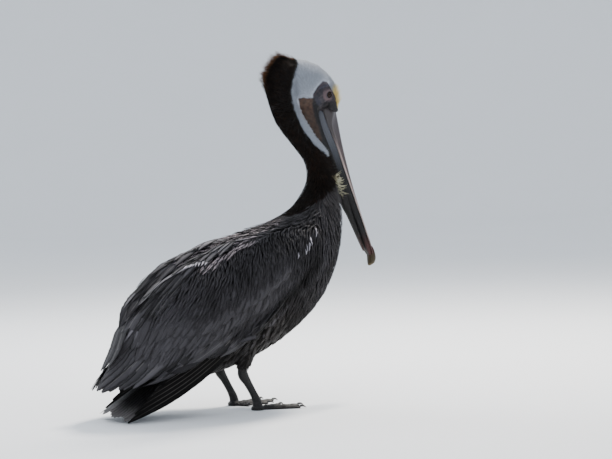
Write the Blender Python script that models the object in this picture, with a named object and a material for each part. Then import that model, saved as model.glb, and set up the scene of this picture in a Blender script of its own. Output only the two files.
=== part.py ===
"""Brown pelican, adult in breeding plumage, standing at rest with its bill tucked down on its breast.

A still, life-size model in metres. +X is the way the bird faces, +Y its left and +Z up, and the floor
is z = 0. The neck and trunk are one loft parted by thin cuts. What lies on them is cut back by the loft
grown by GAP.
"""

from math import cos, exp, pi, radians, sin, tau

import bmesh
import bpy
import numpy as np
from mathutils import Matrix, Vector

# Driving sizes, in metres.
GAP = 0.0004              # air between neighbouring solids
BILL_LENGTH = 0.336       # gape corner to tip
BILL_LEAN = radians(17.7)  # bill's tip leans forward of plumb by this
GAPE = (0.195, 0.605)     # (x, z) of the gape's corner
BODY_PITCH = radians(40)  # back rises forward at this angle
BODY_ORIGIN = (-0.140, 0.130)   # (x, z) where body coordinates (s, d) start, at the rump
EYE_RADIUS = 0.0078
EYE_PLACE = (0.191, 0.0200, 0.634)
HIP_SPREAD = 0.045        # each leg's distance from the middle
CLAW_LENGTH = 0.012

ACROSS = Vector((0, 1, 0))
UP = Vector((0, 0, 1))


# ---------------------------------------------------------------- tools

def smooth_table(rows, count):
    """Each column of rows read along a Catmull-Rom curve at count even steps."""
    table = np.array(rows, float)
    padded = np.vstack([2 * table[0] - table[1], table, 2 * table[-1] - table[-2]])
    steps = np.linspace(0, len(table) - 1, count)
    first = np.minimum(steps.astype(int), len(table) - 2)
    t = (steps - first)[:, None]
    p0, p1, p2, p3 = (padded[first + k] for k in range(4))
    return 0.5 * (2 * p1 + (p2 - p0) * t + (2 * p0 - 5 * p1 + 4 * p2 - p3) * t**2
                  + (3 * p1 - p0 - 3 * p2 + p3) * t**3)


def signed_power(value, power):
    return np.sign(value) * abs(value) ** power


def material(name, colour, roughness, metallic=0.0):
    made = bpy.data.materials.get(name)
    if made is None:
        made = bpy.data.materials.new(name)
        made.use_nodes = True
        shader = made.node_tree.nodes["Principled BSDF"]
        shader.inputs["Base Color"].default_value = (*colour, 1)
        shader.inputs["Roughness"].default_value = roughness
        shader.inputs["Metallic"].default_value = metallic
    return made


def add_object(name, shape, finish=None):
    """A mesh object from a bmesh, with its normals out and its smooth faces shaded smooth."""
    bmesh.ops.recalc_face_normals(shape, faces=shape.faces)
    if shape.calc_volume(signed=True) < 0:
        bmesh.ops.reverse_faces(shape, faces=shape.faces)
    mesh = bpy.data.meshes.new(name)
    shape.to_mesh(mesh)
    shape.free()
    mesh.shade_smooth()
    mesh.set_sharp_from_angle(angle=radians(50))
    obj = bpy.data.objects.new(name, mesh)
    bpy.context.scene.collection.objects.link(obj)
    if finish is not None:
        mesh.materials.append(finish)
    return obj


def skin_rings(name, rings, finish):
    """A closed solid over a run of rings that all hold the same number of points.

    Its triangles lean the other way on the bird's left, so that both sides match.
    """
    shape = bmesh.new()
    made = [[shape.verts.new(point) for point in ring] for ring in rings]
    for near, far in zip(made, made[1:]):
        for k in range(len(near)):
            corners = near[k], near[(k + 1) % len(near)], far[(k + 1) % len(near)], far[k]
            if sum(corner.co.y for corner in corners) > 0:
                corners = corners[1:] + corners[:1]
            shape.faces.new(corners[:3])
            shape.faces.new((corners[0], *corners[2:]))
    shape.faces.new(made[0][::-1])
    shape.faces.new(made[-1])
    return add_object(name, shape, finish)


def spine_rings(rows, count, sides, y=0.0, power=1.0):
    """Rings square to a spine in a plane of constant y.

    A row is (x, z, left, right, half_width): left is the reach to the spine's left as it runs on.
    """
    table = smooth_table(rows, count)
    ahead = np.gradient(table[:, :2], axis=0)
    ahead /= np.linalg.norm(ahead, axis=1)[:, None]
    rings = []
    for (x, z, to_left, to_right, wide), (tx, tz) in zip(table, ahead):
        left = Vector((-tz, 0, tx))
        ring = []
        for k in range(sides):
            turn = tau * k / sides
            reach = (to_left if sin(turn) > 0 else to_right) * signed_power(sin(turn), power)
            ring.append(Vector((x, y, z)) + left * reach + ACROSS * wide * signed_power(cos(turn), power))
        rings.append(ring)
    return rings, [Vector((tx, 0, tz)) for tx, tz in ahead]


def body_point(s, d, y):
    """A point given along the back (s), off it (d) and across (y)."""
    return Vector((BODY_ORIGIN[0] + s * cos(BODY_PITCH) - d * sin(BODY_PITCH), y,
                   BODY_ORIGIN[1] + s * sin(BODY_PITCH) + d * cos(BODY_PITCH)))


def bill_point(along, off, y):
    """A point given by its share of the bill's length, its height off the gape line and its y."""
    reach = along * BILL_LENGTH
    return Vector((GAPE[0] + reach * sin(BILL_LEAN) + off * cos(BILL_LEAN), y,
                   GAPE[1] - reach * cos(BILL_LEAN) + off * sin(BILL_LEAN)))


def grown(obj):
    """A hidden copy of obj, larger by GAP all round, to cut its neighbours with."""
    copy = bpy.data.objects.new(obj.name + ".cutter", obj.data.copy())
    shape = bmesh.new()
    shape.from_mesh(copy.data)
    shape.normal_update()
    moved = [vert.co + vert.normal * GAP * vert.calc_shell_factor() for vert in shape.verts]
    for vert, place in zip(shape.verts, moved):
        vert.co = place
    shape.to_mesh(copy.data)
    shape.free()
    bpy.context.scene.collection.objects.link(copy)
    copy.hide_render = True
    copy.display_type = "WIRE"
    return copy


def boolean(obj, other, operation):
    modifier = obj.modifiers.new(f"{operation.lower()} {other.name}", "BOOLEAN")
    modifier.operation = operation
    modifier.object = other
    with bpy.context.temp_override(object=obj):
        bpy.ops.object.modifier_apply(modifier=modifier.name)


def keep_largest(obj):
    """Drops the crumbs that a cut can leave, so that the solid is one body."""
    shape = bmesh.new()
    shape.from_mesh(obj.data)
    bmesh.ops.remove_doubles(shape, verts=shape.verts, dist=0.00002)
    left = set(shape.verts)
    groups = []
    while left:
        found, todo = set(), [left.pop()]
        while todo:
            vert = todo.pop()
            found.add(vert)
            near = {edge.other_vert(vert) for edge in vert.link_edges} & left
            left -= near
            todo += near
        groups.append(found)
    groups.sort(key=len)
    bmesh.ops.delete(shape, geom=[v for group in groups[:-1] for v in group], context="VERTS")
    shape.to_mesh(obj.data)
    shape.free()


def fit_against(obj, *cutters):
    """Cuts obj back by its neighbours' grown copies."""
    for cutter in cutters:
        boolean(obj, cutter, "DIFFERENCE")
    keep_largest(obj)
    return obj


# ---------------------------------------------------------------- materials

def finishes():
    return {
        "dark": material("neck_plumage", (0.030, 0.018, 0.014), 0.80),
        "white": material("head_plumage", (0.780, 0.770, 0.740), 0.75),
        "body": material("body_plumage", (0.085, 0.076, 0.074), 0.75),
        "wing": material("wing_plumage", (0.130, 0.120, 0.125), 0.65),
        "flight": material("flight_feathers", (0.020, 0.019, 0.020), 0.55),
        "tail": material("tail_feathers", (0.150, 0.145, 0.150), 0.65),
        "bill": material("bill_horn", (0.230, 0.180, 0.170), 0.40),
        "nail": material("bill_nail", (0.420, 0.220, 0.070), 0.40),
        "pouch": material("pouch_skin", (0.060, 0.045, 0.032), 0.50),
        "eye": material("eye", (0.020, 0.014, 0.012), 0.08),
        "leg": material("leg_skin", (0.035, 0.031, 0.030), 0.55),
        "claw": material("claw_horn", (0.015, 0.013, 0.012), 0.40),
    }


# ---------------------------------------------------------------- neck and trunk

# (x, z, front, back, half_width) down the neck and back along the trunk.
NECK_TO_RUMP = [
    (0.1060, 0.7080, 0.018, 0.018, 0.010),
    (0.1030, 0.6950, 0.030, 0.031, 0.021),
    (0.1000, 0.6680, 0.031, 0.0425, 0.027),
    (0.1000, 0.6280, 0.030, 0.037, 0.028),
    (0.1080, 0.5860, 0.028, 0.0275, 0.0265),
    (0.1380, 0.5460, 0.0250, 0.0245, 0.0250),
    (0.1660, 0.5120, 0.0250, 0.0250, 0.0255),
    (0.1800, 0.4760, 0.0280, 0.0275, 0.0290),
    (0.1810, 0.4350, 0.0400, 0.0340, 0.0420),
    (0.1620, 0.3830, 0.0610, 0.0460, 0.0660),
    (0.1260, 0.3250, 0.0850, 0.0820, 0.0880),
    (0.0750, 0.2700, 0.1030, 0.1130, 0.0970),
    (0.0000, 0.2150, 0.1020, 0.1360, 0.0970),
    (-0.0700, 0.1650, 0.0840, 0.1330, 0.0850),
    (-0.1350, 0.1200, 0.0560, 0.0980, 0.0600),
    (-0.1900, 0.0800, 0.0240, 0.0430, 0.0320),
]
TRUNK_SIDES = 24
SPINE_STEPS = 39
SPINE_NODES = (("neck_upper", 9, "dark"), ("neck_middle", 14, "dark"), ("neck_lower", 19, "dark"),
               ("trunk", 38, "body"))


def make_spine(finish):
    """Neck lengths and trunk: one loft, parted at chosen rings."""
    rings, ahead = spine_rings(NECK_TO_RUMP, SPINE_STEPS, TRUNK_SIDES)
    made, first = {}, 0
    for name, last, colour in SPINE_NODES:
        run = [list(ring) for ring in rings[first:last + 1]]
        if first:
            run[0] = [point + ahead[first] * GAP for point in run[0]]
        made[name] = skin_rings(name, run, finish[colour])
        first = last
    return made


# ---------------------------------------------------------------- head

# (x, z, crown, throat, half_width) from the nape to the bill's base.
HEAD = [
    (0.0980, 0.6680, 0.0080, 0.0080, 0.0080),
    (0.1140, 0.6710, 0.0330, 0.0280, 0.0225),
    (0.1360, 0.6700, 0.0370, 0.0600, 0.0285),
    (0.1650, 0.6570, 0.0400, 0.0640, 0.0295),
    (0.1890, 0.6320, 0.0365, 0.0480, 0.0265),
    (0.2060, 0.6060, 0.0200, 0.0280, 0.0215),
    (0.2110, 0.5960, 0.0145, 0.0190, 0.0190),
]
HEAD_STEPS = 12
HEAD_SIDES = 20


def make_head(finish):
    rings, _ = spine_rings(HEAD, HEAD_STEPS, HEAD_SIDES)
    return skin_rings("head", rings, finish["white"])


def make_eye(side, name, finish):
    shape = bmesh.new()
    bmesh.ops.create_uvsphere(shape, u_segments=10, v_segments=7, radius=EYE_RADIUS)
    bmesh.ops.translate(shape, verts=shape.verts, vec=(EYE_PLACE[0], side * EYE_PLACE[1], EYE_PLACE[2]))
    return add_object(name, shape, finish["eye"])


# ---------------------------------------------------------------- bill

# (share of length, culmen height, half-width) of the upper mandible.
UPPER = [
    (0.010, 0.0240, 0.0195), (0.10, 0.0200, 0.0175), (0.25, 0.0135, 0.0150), (0.45, 0.0100, 0.0138),
    (0.65, 0.0092, 0.0138), (0.82, 0.0090, 0.0145), (0.93, 0.0085, 0.0130),
]
# (share of length, depth, half-width) of the lower mandible.
LOWER = [
    (0.010, 0.0230, 0.0190), (0.10, 0.0225, 0.0172), (0.25, 0.0205, 0.0146), (0.45, 0.0165, 0.0132),
    (0.65, 0.0130, 0.0130), (0.82, 0.0100, 0.0134), (0.93, 0.0080, 0.0118), (0.975, 0.0060, 0.0080),
]
# (share of length, hook's drop below the gape line, rise above it, half-width) of the nail.
NAIL = [
    (0.93, 0.000, 0.0092, 0.0105), (0.96, 0.000, 0.0105, 0.0100), (0.985, -0.004, 0.0105, 0.0088),
    (1.012, -0.010, 0.0070, 0.0065), (1.030, -0.0135, -0.0020, 0.0035),
]
NAIL_STEPS = 9
NAIL_SIDES = 12
NAIL_FREE = 0.978         # past this share of the bill's length the nail hooks below the gape line
# (share of length, top below the gape line, depth below it, half-width) of the pouch.
POUCH = [
    (-0.060, 0.0220, 0.0620, 0.0200), (0.05, 0.0220, 0.0600, 0.0190), (0.20, 0.0200, 0.0520, 0.0150),
    (0.35, 0.0180, 0.0430, 0.0120), (0.52, 0.0150, 0.0340, 0.0100), (0.70, 0.0120, 0.0215, 0.0085),
    (0.84, 0.0095, 0.0145, 0.0070), (0.93, 0.0080, 0.0102, 0.0050),
]
BILL_STEPS = 12


def half_ring(along, base, height, wide, sign, power=0.8, arc=7):
    """A flat-bottomed arch over the gape line (sign +1) or under it (sign -1)."""
    ring = [bill_point(along, base + sign * height * sin(pi * k / arc) ** power, wide * cos(pi * k / arc))
            for k in range(arc + 1)]
    return ring + [bill_point(along, base, -wide * 0.5), bill_point(along, base, wide * 0.5)]


def make_bill(finish):
    upper = [half_ring(a, GAP / 2, h, w, 1, power=0.9) for a, h, w in smooth_table(UPPER, BILL_STEPS)]
    lower = [half_ring(a, -GAP / 2, h, w, -1, power=0.7) for a, h, w in smooth_table(LOWER, BILL_STEPS)]
    nail = []
    for a, low, high, wide in smooth_table(NAIL, NAIL_STEPS):
        low = max(low, GAP / 2) if a < NAIL_FREE else low
        middle, half = (low + high) / 2, (high - low) / 2
        turns = [tau * k / NAIL_SIDES for k in range(NAIL_SIDES)]
        nail.append([bill_point(a, middle + half * sin(turn), wide * cos(turn)) for turn in turns])
    pouch = []
    for a, top, deep, wide in smooth_table(POUCH, BILL_STEPS):
        pouch.append(half_ring(a, -top, deep - top, wide, -1, power=0.8))
    return {
        "upper_mandible": skin_rings("upper_mandible", upper, finish["bill"]),
        "lower_mandible": skin_rings("lower_mandible", lower, finish["bill"]),
        "bill_nail": skin_rings("bill_nail", nail, finish["nail"]),
        "pouch": skin_rings("pouch", pouch, finish["pouch"]),
    }


# ---------------------------------------------------------------- wings and tail

# (s, then y and d of the inner edge, crest, side and lower edge, then thickness) of a folded wing.
WING = [
    (0.356, 0.078, 0.014, 0.080, 0.012, 0.082, 0.006, 0.082, 0.003, 0.004),
    (0.340, 0.066, 0.028, 0.076, 0.030, 0.090, 0.012, 0.086, -0.012, 0.018),
    (0.305, 0.052, 0.052, 0.070, 0.050, 0.100, 0.018, 0.094, -0.030, 0.030),
    (0.250, 0.042, 0.080, 0.060, 0.078, 0.108, 0.026, 0.100, -0.036, 0.036),
    (0.190, 0.030, 0.108, 0.050, 0.105, 0.112, 0.035, 0.104, -0.041, 0.044),
    (0.130, 0.024, 0.122, 0.046, 0.128, 0.115, 0.042, 0.105, -0.043, 0.050),
    (0.090, 0.020, 0.128, 0.049, 0.1435, 0.115, 0.047, 0.103, -0.042, 0.052),
    (0.045, 0.014, 0.126, 0.046, 0.150, 0.113, 0.050, 0.100, -0.038, 0.048),
    (0.000, 0.008, 0.120, 0.046, 0.1465, 0.109, 0.050, 0.096, -0.024, 0.040),
    (-0.035, 0.005, 0.118, 0.035, 0.142, 0.101, 0.050, 0.091, -0.006, 0.030),
    (-0.065, 0.004, 0.114, 0.024, 0.133, 0.090, 0.056, 0.087, 0.013, 0.022),
    (-0.100, 0.003, 0.104, 0.010, 0.112, 0.070, 0.064, 0.080, 0.022, 0.015),
    (-0.133, 0.003, 0.094, 0.008, 0.099, 0.054, 0.068, 0.070, 0.033, 0.011),
    (-0.165, 0.003, 0.084, 0.010, 0.0895, 0.040, 0.073, 0.055, 0.050, 0.008),
    (-0.190, 0.003, 0.080, 0.008, 0.087, 0.022, 0.080, 0.033, 0.066, 0.005),
    (-0.203, 0.004, 0.080, 0.007, 0.083, 0.014, 0.079, 0.020, 0.073, 0.003),
]
EDGE_THICKNESS = 0.0014
WING_STEPS = 26
WING_ARC = 9
WING_NODES = (("coverts", 0, 13), ("secondaries", 13, 25))
PRIMARY_STEPS = 12
PRIMARY_SIDES = 10
# How far the left wing's primaries are drawn in at their tips: forward, and towards the middle.
TUCK = (0.020, 0.016)
# (s, upper d, lower d, y, half-thickness) of the stacked primaries.
PRIMARIES = [
    (0.055, -0.018, -0.0420, 0.0920, 0.0030), (-0.020, 0.000, -0.0370, 0.0870, 0.0036),
    (-0.090, 0.018, -0.0290, 0.0820, 0.0036), (-0.150, 0.022, -0.0160, 0.0790, 0.0030),
    (-0.185, 0.022, -0.0010, 0.0770, 0.0024), (-0.212, 0.0165, 0.0115, 0.0760, 0.0012),
]
# (s, d, half-width, half-thickness) of the tail's fan.
TAIL = [
    (-0.020, 0.004, 0.0420, 0.0200), (-0.060, 0.004, 0.0440, 0.0130), (-0.110, 0.008, 0.0470, 0.0070),
    (-0.150, 0.013, 0.0500, 0.0045), (-0.174, 0.017, 0.0460, 0.0030), (-0.191, 0.020, 0.0350, 0.0016),
]
TAIL_SAG = 0.008          # its outer feathers lie this much lower than the middle ones
TAIL_STEPS = 9
TAIL_SIDES = 16


def wing_ring(row):
    """One crescent section: an outer arc from the inner edge to the lower one, and an inner arc back."""
    s, thick = row[0], row[-1]
    outer = smooth_table(np.reshape(row[1:-1], (4, 2)), WING_ARC + 1)
    along = np.gradient(outer, axis=0)
    along /= np.linalg.norm(along, axis=1)[:, None]
    inward = np.stack([along[:, 1], -along[:, 0]], axis=1)
    share = np.linspace(0, 1, WING_ARC + 1)
    depth = EDGE_THICKNESS + thick * (4 * share * (1 - share)) ** 0.6
    inner = outer + inward * depth[:, None]
    return [body_point(s, d, -y) for y, d in [*outer, *inner[::-1]]]


def make_primaries(name, tuck, finish):
    """The stack of primaries under a folded right wing."""
    rings = []
    shares = np.linspace(0, 1, PRIMARY_STEPS) ** 2
    for share, (s, high, low, y, half) in zip(shares, smooth_table(PRIMARIES, PRIMARY_STEPS)):
        s, y = s + tuck[0] * share, y - tuck[1] * share
        middle, reach = (high + low) / 2, (high - low) / 2
        ring = []
        for k in range(PRIMARY_SIDES):
            turn = tau * k / PRIMARY_SIDES
            ring.append(body_point(s, middle + reach * cos(turn), -y - half * sin(turn)))
        rings.append(ring)
    return skin_rings(name, rings, finish["flight"])


def make_wing(finish):
    """The right wing's two lengths: coverts and secondaries."""
    rings = [wing_ring(row) for row in smooth_table(WING, WING_STEPS)]
    back = (body_point(-1, 0, 0) - body_point(0, 0, 0)) * GAP
    made = []
    for part, first, last in WING_NODES:
        run = rings[first:last + 1]
        if first:
            run[0] = [point + back for point in run[0]]
        made.append(skin_rings(f"wing_R_{part}", run, finish["wing"]))
    return made


def mirror(obj):
    """Turns a right-hand piece into a left-hand one."""
    obj.data.transform(Matrix.Scale(-1, 4, ACROSS))
    obj.data.flip_normals()


def mirrored(obj):
    """The left-hand copy of a right-hand piece."""
    copy = bpy.data.objects.new(obj.name.replace("_R_", "_L_"), obj.data.copy())
    mirror(copy)
    bpy.context.scene.collection.objects.link(copy)


def make_tail(finish):
    rings = []
    for s, d, wide, thick in smooth_table(TAIL, TAIL_STEPS):
        ring = []
        for k in range(TAIL_SIDES):
            turn = tau * k / TAIL_SIDES
            sag = TAIL_SAG * cos(turn) ** 2
            ring.append(body_point(s, d - sag + thick * sin(turn), wide * cos(turn)))
        rings.append(ring)
    return skin_rings("tail", rings, finish["tail"])


# ---------------------------------------------------------------- legs

# (x, z, left, right, half_width) down a thigh and down a shank, which ends at the toes' joint.
THIGH = [
    (-0.026, 0.150, 0.024, 0.024, 0.022), (-0.031, 0.120, 0.020, 0.020, 0.018),
    (-0.036, 0.098, 0.015, 0.015, 0.014), (-0.039, 0.083, 0.0115, 0.0115, 0.0105),
]
SHANK = [
    (-0.0390, 0.0820, 0.0100, 0.0100, 0.0080), (-0.0375, 0.0715, 0.0110, 0.0100, 0.0090),
    (-0.0275, 0.0560, 0.0082, 0.0086, 0.0066), (-0.0165, 0.0360, 0.0076, 0.0078, 0.0060),
    (-0.0080, 0.0180, 0.0085, 0.0085, 0.0070),
]
THIGH_STEPS = 8
SHANK_STEPS = 10
TOE_JOINT_X = -0.006
STRIDE = {"R": 0.0, "L": -0.006}   # each foot's place along x
# (name, length, heading from straight ahead towards the outside) of each toe.
TOES = (("outer", 0.086, radians(24)), ("middle", 0.092, radians(2)), ("inner", 0.070, radians(-22)),
        ("hind", 0.035, radians(-62)))
WEB_THICKNESS = 0.0022
WEB_NOTCH = 0.12          # how far the web's edge falls in between two toes, as a share
TOE_WIDTH = 0.0050        # half of a toe's width
TOE_HEIGHT = 0.0068       # of a toe over its web
KNUCKLE_HEIGHT = 0.0150
KNUCKLE_REACH = 0.0120
HEEL_RADIUS = 0.0135
HEEL_HEADINGS = (60, 100, 145, 190, 235)
COLUMN_OFFSETS = (-8, -3, 0, 3, 8)
FOOT_ROWS = (0.14, 0.30, 0.50, 0.75, 0.92, 1.0)
LEG_SIDES = 10
TOE_SLOPE = 0.4           # share of its height that a toe loses towards its tip
WEB_SHARE = 0.98          # the web stops this far out between the toes
CLAW_STEPS = 4
CLAW_SIDES = 6
CLAW_RADIUS = (0.0035, 0.0006)     # at its base and at its tip
CLAW_ARCH = 0.0008


def toe_line(toe, side, letter):
    """A toe's root on the floor, its tip, and the way across it."""
    _, length, heading = toe
    root = Vector((TOE_JOINT_X + STRIDE[letter], side * HIP_SPREAD, 0))
    ahead = Vector((cos(heading), side * sin(heading), 0))
    return root, root + ahead * length, ahead, Vector((-ahead.y, ahead.x, 0))


def rim_radius(heading):
    """How far the foot's edge lies from the toes' joint, at a heading."""
    reach = HEEL_RADIUS
    for _, length, toe_heading in TOES:
        turn = abs(heading - toe_heading)
        if turn < pi / 2:
            reach = max(reach, min(length, TOE_WIDTH / max(sin(turn), 0.001)))
    for (_, left_length, left), (_, right_length, right) in zip(TOES, TOES[1:]):
        if right <= heading <= left:
            share = (left - heading) / (left - right)
            web = right_length + (left_length - right_length) * (1 - share) ** 2
            reach = max(reach, web * (1 - WEB_NOTCH * sin(pi * share)) * WEB_SHARE)
    return reach


def foot_height(reach, heading):
    """Height of the foot's upper side over the floor."""
    rise = KNUCKLE_HEIGHT * exp(-(reach / KNUCKLE_REACH) ** 2)
    for _, length, toe_heading in TOES:
        turn = abs(heading - toe_heading)
        if turn < pi / 2:
            ridge = exp(-(reach * sin(turn) / TOE_WIDTH) ** 2) * (1 - TOE_SLOPE * reach / length)
            rise = max(rise, TOE_HEIGHT * ridge)
    return WEB_THICKNESS + rise


def make_foot(side, letter, finish):
    """A flat sole under four toes and their webs, laid out in rings round the toes' joint."""
    headings = {heading + radians(offset) for _, _, heading in TOES for offset in COLUMN_OFFSETS}
    headings |= {(left[2] + right[2]) / 2 for left, right in zip(TOES, TOES[1:])}
    headings |= {radians(heading) for heading in HEEL_HEADINGS}
    headings = sorted(headings)
    root = toe_line(TOES[0], side, letter)[0]
    shape = bmesh.new()
    rings = []
    for row in FOOT_ROWS:
        ring = []
        for heading in headings:
            reach = row * rim_radius(heading)
            ring.append(shape.verts.new(root + Vector((reach * cos(heading), side * reach * sin(heading),
                                                       foot_height(reach, heading)))))
        rings.append(ring)
    rings.append([shape.verts.new((vert.co.x, vert.co.y, 0)) for vert in rings[-1]])
    top = shape.verts.new(root + Vector((0, 0, foot_height(0, 0))))
    bottom = shape.verts.new(root)
    for k in range(len(headings)):
        after = (k + 1) % len(headings)
        shape.faces.new((top, rings[0][k], rings[0][after]))
        shape.faces.new((bottom, rings[-1][after], rings[-1][k]))
        for near, far in zip(rings, rings[1:]):
            shape.faces.new((near[k], far[k], far[after], near[after]))
    return add_object(f"foot_{letter}", shape, finish["leg"])


def make_claw(toe, side, letter, finish):
    _, tip, ahead, across = toe_line(toe, side, letter)
    rings = []
    for step in range(CLAW_STEPS):
        share = step / (CLAW_STEPS - 1)
        radius = CLAW_RADIUS[0] * (1 - share) + CLAW_RADIUS[1] * share
        height = radius + GAP + CLAW_ARCH * sin(pi * share)
        centre = tip + ahead * (GAP + CLAW_LENGTH * share) + UP * height
        turns = [tau * k / CLAW_SIDES for k in range(CLAW_SIDES)]
        rings.append([centre + across * radius * cos(turn) + UP * radius * sin(turn) for turn in turns])
    return skin_rings(f"claw_{letter}_{toe[0]}", rings, finish["claw"])


def limb(name, rows, side, letter, finish, steps):
    rows = [(x + STRIDE[letter], *rest) for x, *rest in rows]
    rings, _ = spine_rings(rows, steps, LEG_SIDES, side * HIP_SPREAD)
    return skin_rings(name, rings, finish)


def make_leg(side, letter, finish):
    thigh = limb(f"thigh_{letter}", THIGH, side, letter, finish["body"], THIGH_STEPS)
    shank = limb(f"shank_{letter}", SHANK, side, letter, finish["leg"], SHANK_STEPS)
    return thigh, shank


# ---------------------------------------------------------------- the bird

def clear_scene():
    for obj in list(bpy.data.objects):
        bpy.data.objects.remove(obj)


def stand_on_origin():
    """Moves the finished bird so that the origin is under the middle of its bounding box."""
    nodes = [obj for obj in bpy.data.objects if obj.type == "MESH" and not obj.hide_render]
    points = np.array([vert.co for obj in nodes for vert in obj.data.vertices])
    low, high = points.min(axis=0), points.max(axis=0)
    shift = Vector((-(low[0] + high[0]) / 2, -(low[1] + high[1]) / 2, -low[2]))
    for obj in nodes:
        obj.data.transform(obj.matrix_world)
        obj.data.transform(Matrix.Translation(shift))


def main():
    clear_scene()
    finish = finishes()
    solids = {**make_spine(finish), **make_bill(finish)}
    solids["head"] = make_head(finish)
    solids["tail"] = make_tail(finish)
    for side, name in ((-1, "eye_R"), (1, "eye_L")):
        solids[name] = make_eye(side, name, finish)
    wing = make_wing(finish)
    primaries = [make_primaries("wing_R_primaries", (0, 0), finish)]
    primaries.append(make_primaries("wing_L_primaries", TUCK, finish))
    legs = {}
    for side, letter in ((-1, "R"), (1, "L")):
        legs[letter] = (*make_leg(side, letter, finish), make_foot(side, letter, finish))
        for toe in TOES:
            make_claw(toe, side, letter, finish)
    # Every cutter is made before the first cut, from surfaces that are still even.
    cutter = {name: grown(solid) for name, solid in solids.items()}
    wing_cutters = [grown(piece) for piece in wing]
    for thigh, shank, foot in legs.values():
        fit_against(shank, grown(thigh), grown(foot))
        fit_against(thigh, cutter["trunk"])
    fit_against(solids["head"], cutter["eye_R"], cutter["eye_L"], cutter["upper_mandible"],
                cutter["lower_mandible"])
    fit_against(solids["neck_upper"], cutter["head"])
    fit_against(solids["neck_middle"], cutter["head"])
    fit_against(solids["bill_nail"], cutter["upper_mandible"], cutter["lower_mandible"])
    fit_against(solids["pouch"], cutter["lower_mandible"], cutter["head"], cutter["neck_upper"],
                cutter["neck_middle"], cutter["neck_lower"], cutter["trunk"])
    fit_against(solids["tail"], cutter["trunk"])
    for piece in wing + primaries:
        fit_against(piece, cutter["trunk"], cutter["neck_lower"], cutter["tail"])
    for stack in primaries:
        fit_against(stack, *wing_cutters)
    for piece in wing:
        mirrored(piece)
    mirror(primaries[1])
    for obj in list(bpy.data.objects):
        if obj.hide_render:
            bpy.data.objects.remove(obj)
    stand_on_origin()


main()
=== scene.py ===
"""Looks of the brown pelican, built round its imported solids: skin, feathers, bill, eyes and claws."""

import heapq
from math import cos, pi, radians, sin, tau

import bmesh
import bpy
import numpy as np
from mathutils import Matrix, Vector
from mathutils.bvhtree import BVHTree


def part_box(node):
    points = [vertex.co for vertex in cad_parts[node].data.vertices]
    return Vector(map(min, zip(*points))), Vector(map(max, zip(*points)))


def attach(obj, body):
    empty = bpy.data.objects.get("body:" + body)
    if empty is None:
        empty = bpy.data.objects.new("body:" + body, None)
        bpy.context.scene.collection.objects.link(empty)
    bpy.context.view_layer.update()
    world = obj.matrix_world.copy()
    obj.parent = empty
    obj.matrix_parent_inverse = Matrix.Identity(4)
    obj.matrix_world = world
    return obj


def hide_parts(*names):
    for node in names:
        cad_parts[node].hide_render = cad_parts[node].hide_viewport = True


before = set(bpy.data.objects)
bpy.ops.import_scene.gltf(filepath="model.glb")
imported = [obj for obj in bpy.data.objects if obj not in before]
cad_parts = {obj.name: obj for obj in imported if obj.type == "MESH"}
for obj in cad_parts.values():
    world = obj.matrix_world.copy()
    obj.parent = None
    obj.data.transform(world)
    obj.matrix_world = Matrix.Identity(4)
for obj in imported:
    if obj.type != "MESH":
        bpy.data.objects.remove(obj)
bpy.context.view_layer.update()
SIDES = {"R": -1, "L": 1}

# ---------------------------------------------------------------- places, in metres in the row frame

BACK_PITCH = radians(40)             # the back rises forward at this angle
BACK_ORIGIN = (-0.11853, 0.130)      # (x, z) where (s, d) start: s runs forward up the back, d off it
GAPE = (0.21647, 0.605)              # (x, z) of the gape's corner
BILL_LEAN = radians(17.7)
BILL_LENGTH = 0.336
EYE = (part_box("eye_R")[0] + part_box("eye_R")[1]) / 2
EYE_RADIUS = (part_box("eye_R")[1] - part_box("eye_R")[0]).z / 2

ALONG = np.array((cos(BACK_PITCH), 0, sin(BACK_PITCH)))
OFF = np.array((-sin(BACK_PITCH), 0, cos(BACK_PITCH)))
ACROSS = np.array((0.0, 1.0, 0.0))
UP = np.array((0.0, 0.0, 1.0))


def back_point(s, d, y):
    s, d, y = np.broadcast_arrays(s, d, y)
    base = np.array((BACK_ORIGIN[0], 0, BACK_ORIGIN[1]))
    return base + s[..., None] * ALONG + d[..., None] * OFF + y[..., None] * ACROSS


def back_place(points):
    """(s, d) of points."""
    x = points[..., 0] - BACK_ORIGIN[0]
    z = points[..., 2] - BACK_ORIGIN[1]
    return x * ALONG[0] + z * ALONG[2], x * OFF[0] + z * OFF[2]


def bill_point(share, off, y):
    share, off, y = np.broadcast_arrays(share, off, y)
    reach = share * BILL_LENGTH
    x = GAPE[0] + reach * sin(BILL_LEAN) + off * cos(BILL_LEAN)
    z = GAPE[1] - reach * cos(BILL_LEAN) + off * sin(BILL_LEAN)
    return np.stack((x, y, z), -1)


def bill_place(points):
    """(share of the bill's length, height off the gape line) of points."""
    x = points[..., 0] - GAPE[0]
    z = points[..., 2] - GAPE[1]
    along = x * sin(BILL_LEAN) - z * cos(BILL_LEAN)
    return along / BILL_LENGTH, x * cos(BILL_LEAN) + z * sin(BILL_LEAN)


# ---------------------------------------------------------------- small maths

def smooth(value, low=0.0, high=1.0):
    t = np.clip((np.asarray(value, float) - low) / (high - low), 0, 1)
    return t * t * (3 - 2 * t)


def bump(value, middle, width):
    return np.exp(-((np.asarray(value) - middle) / width) ** 2)


def mix(first, second, share):
    share = np.asarray(share, float)
    return np.asarray(first) * (1 - share) + np.asarray(second) * share


def unit(vectors):
    return vectors / np.maximum(np.linalg.norm(vectors, axis=-1, keepdims=True), 1e-12)


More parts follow.
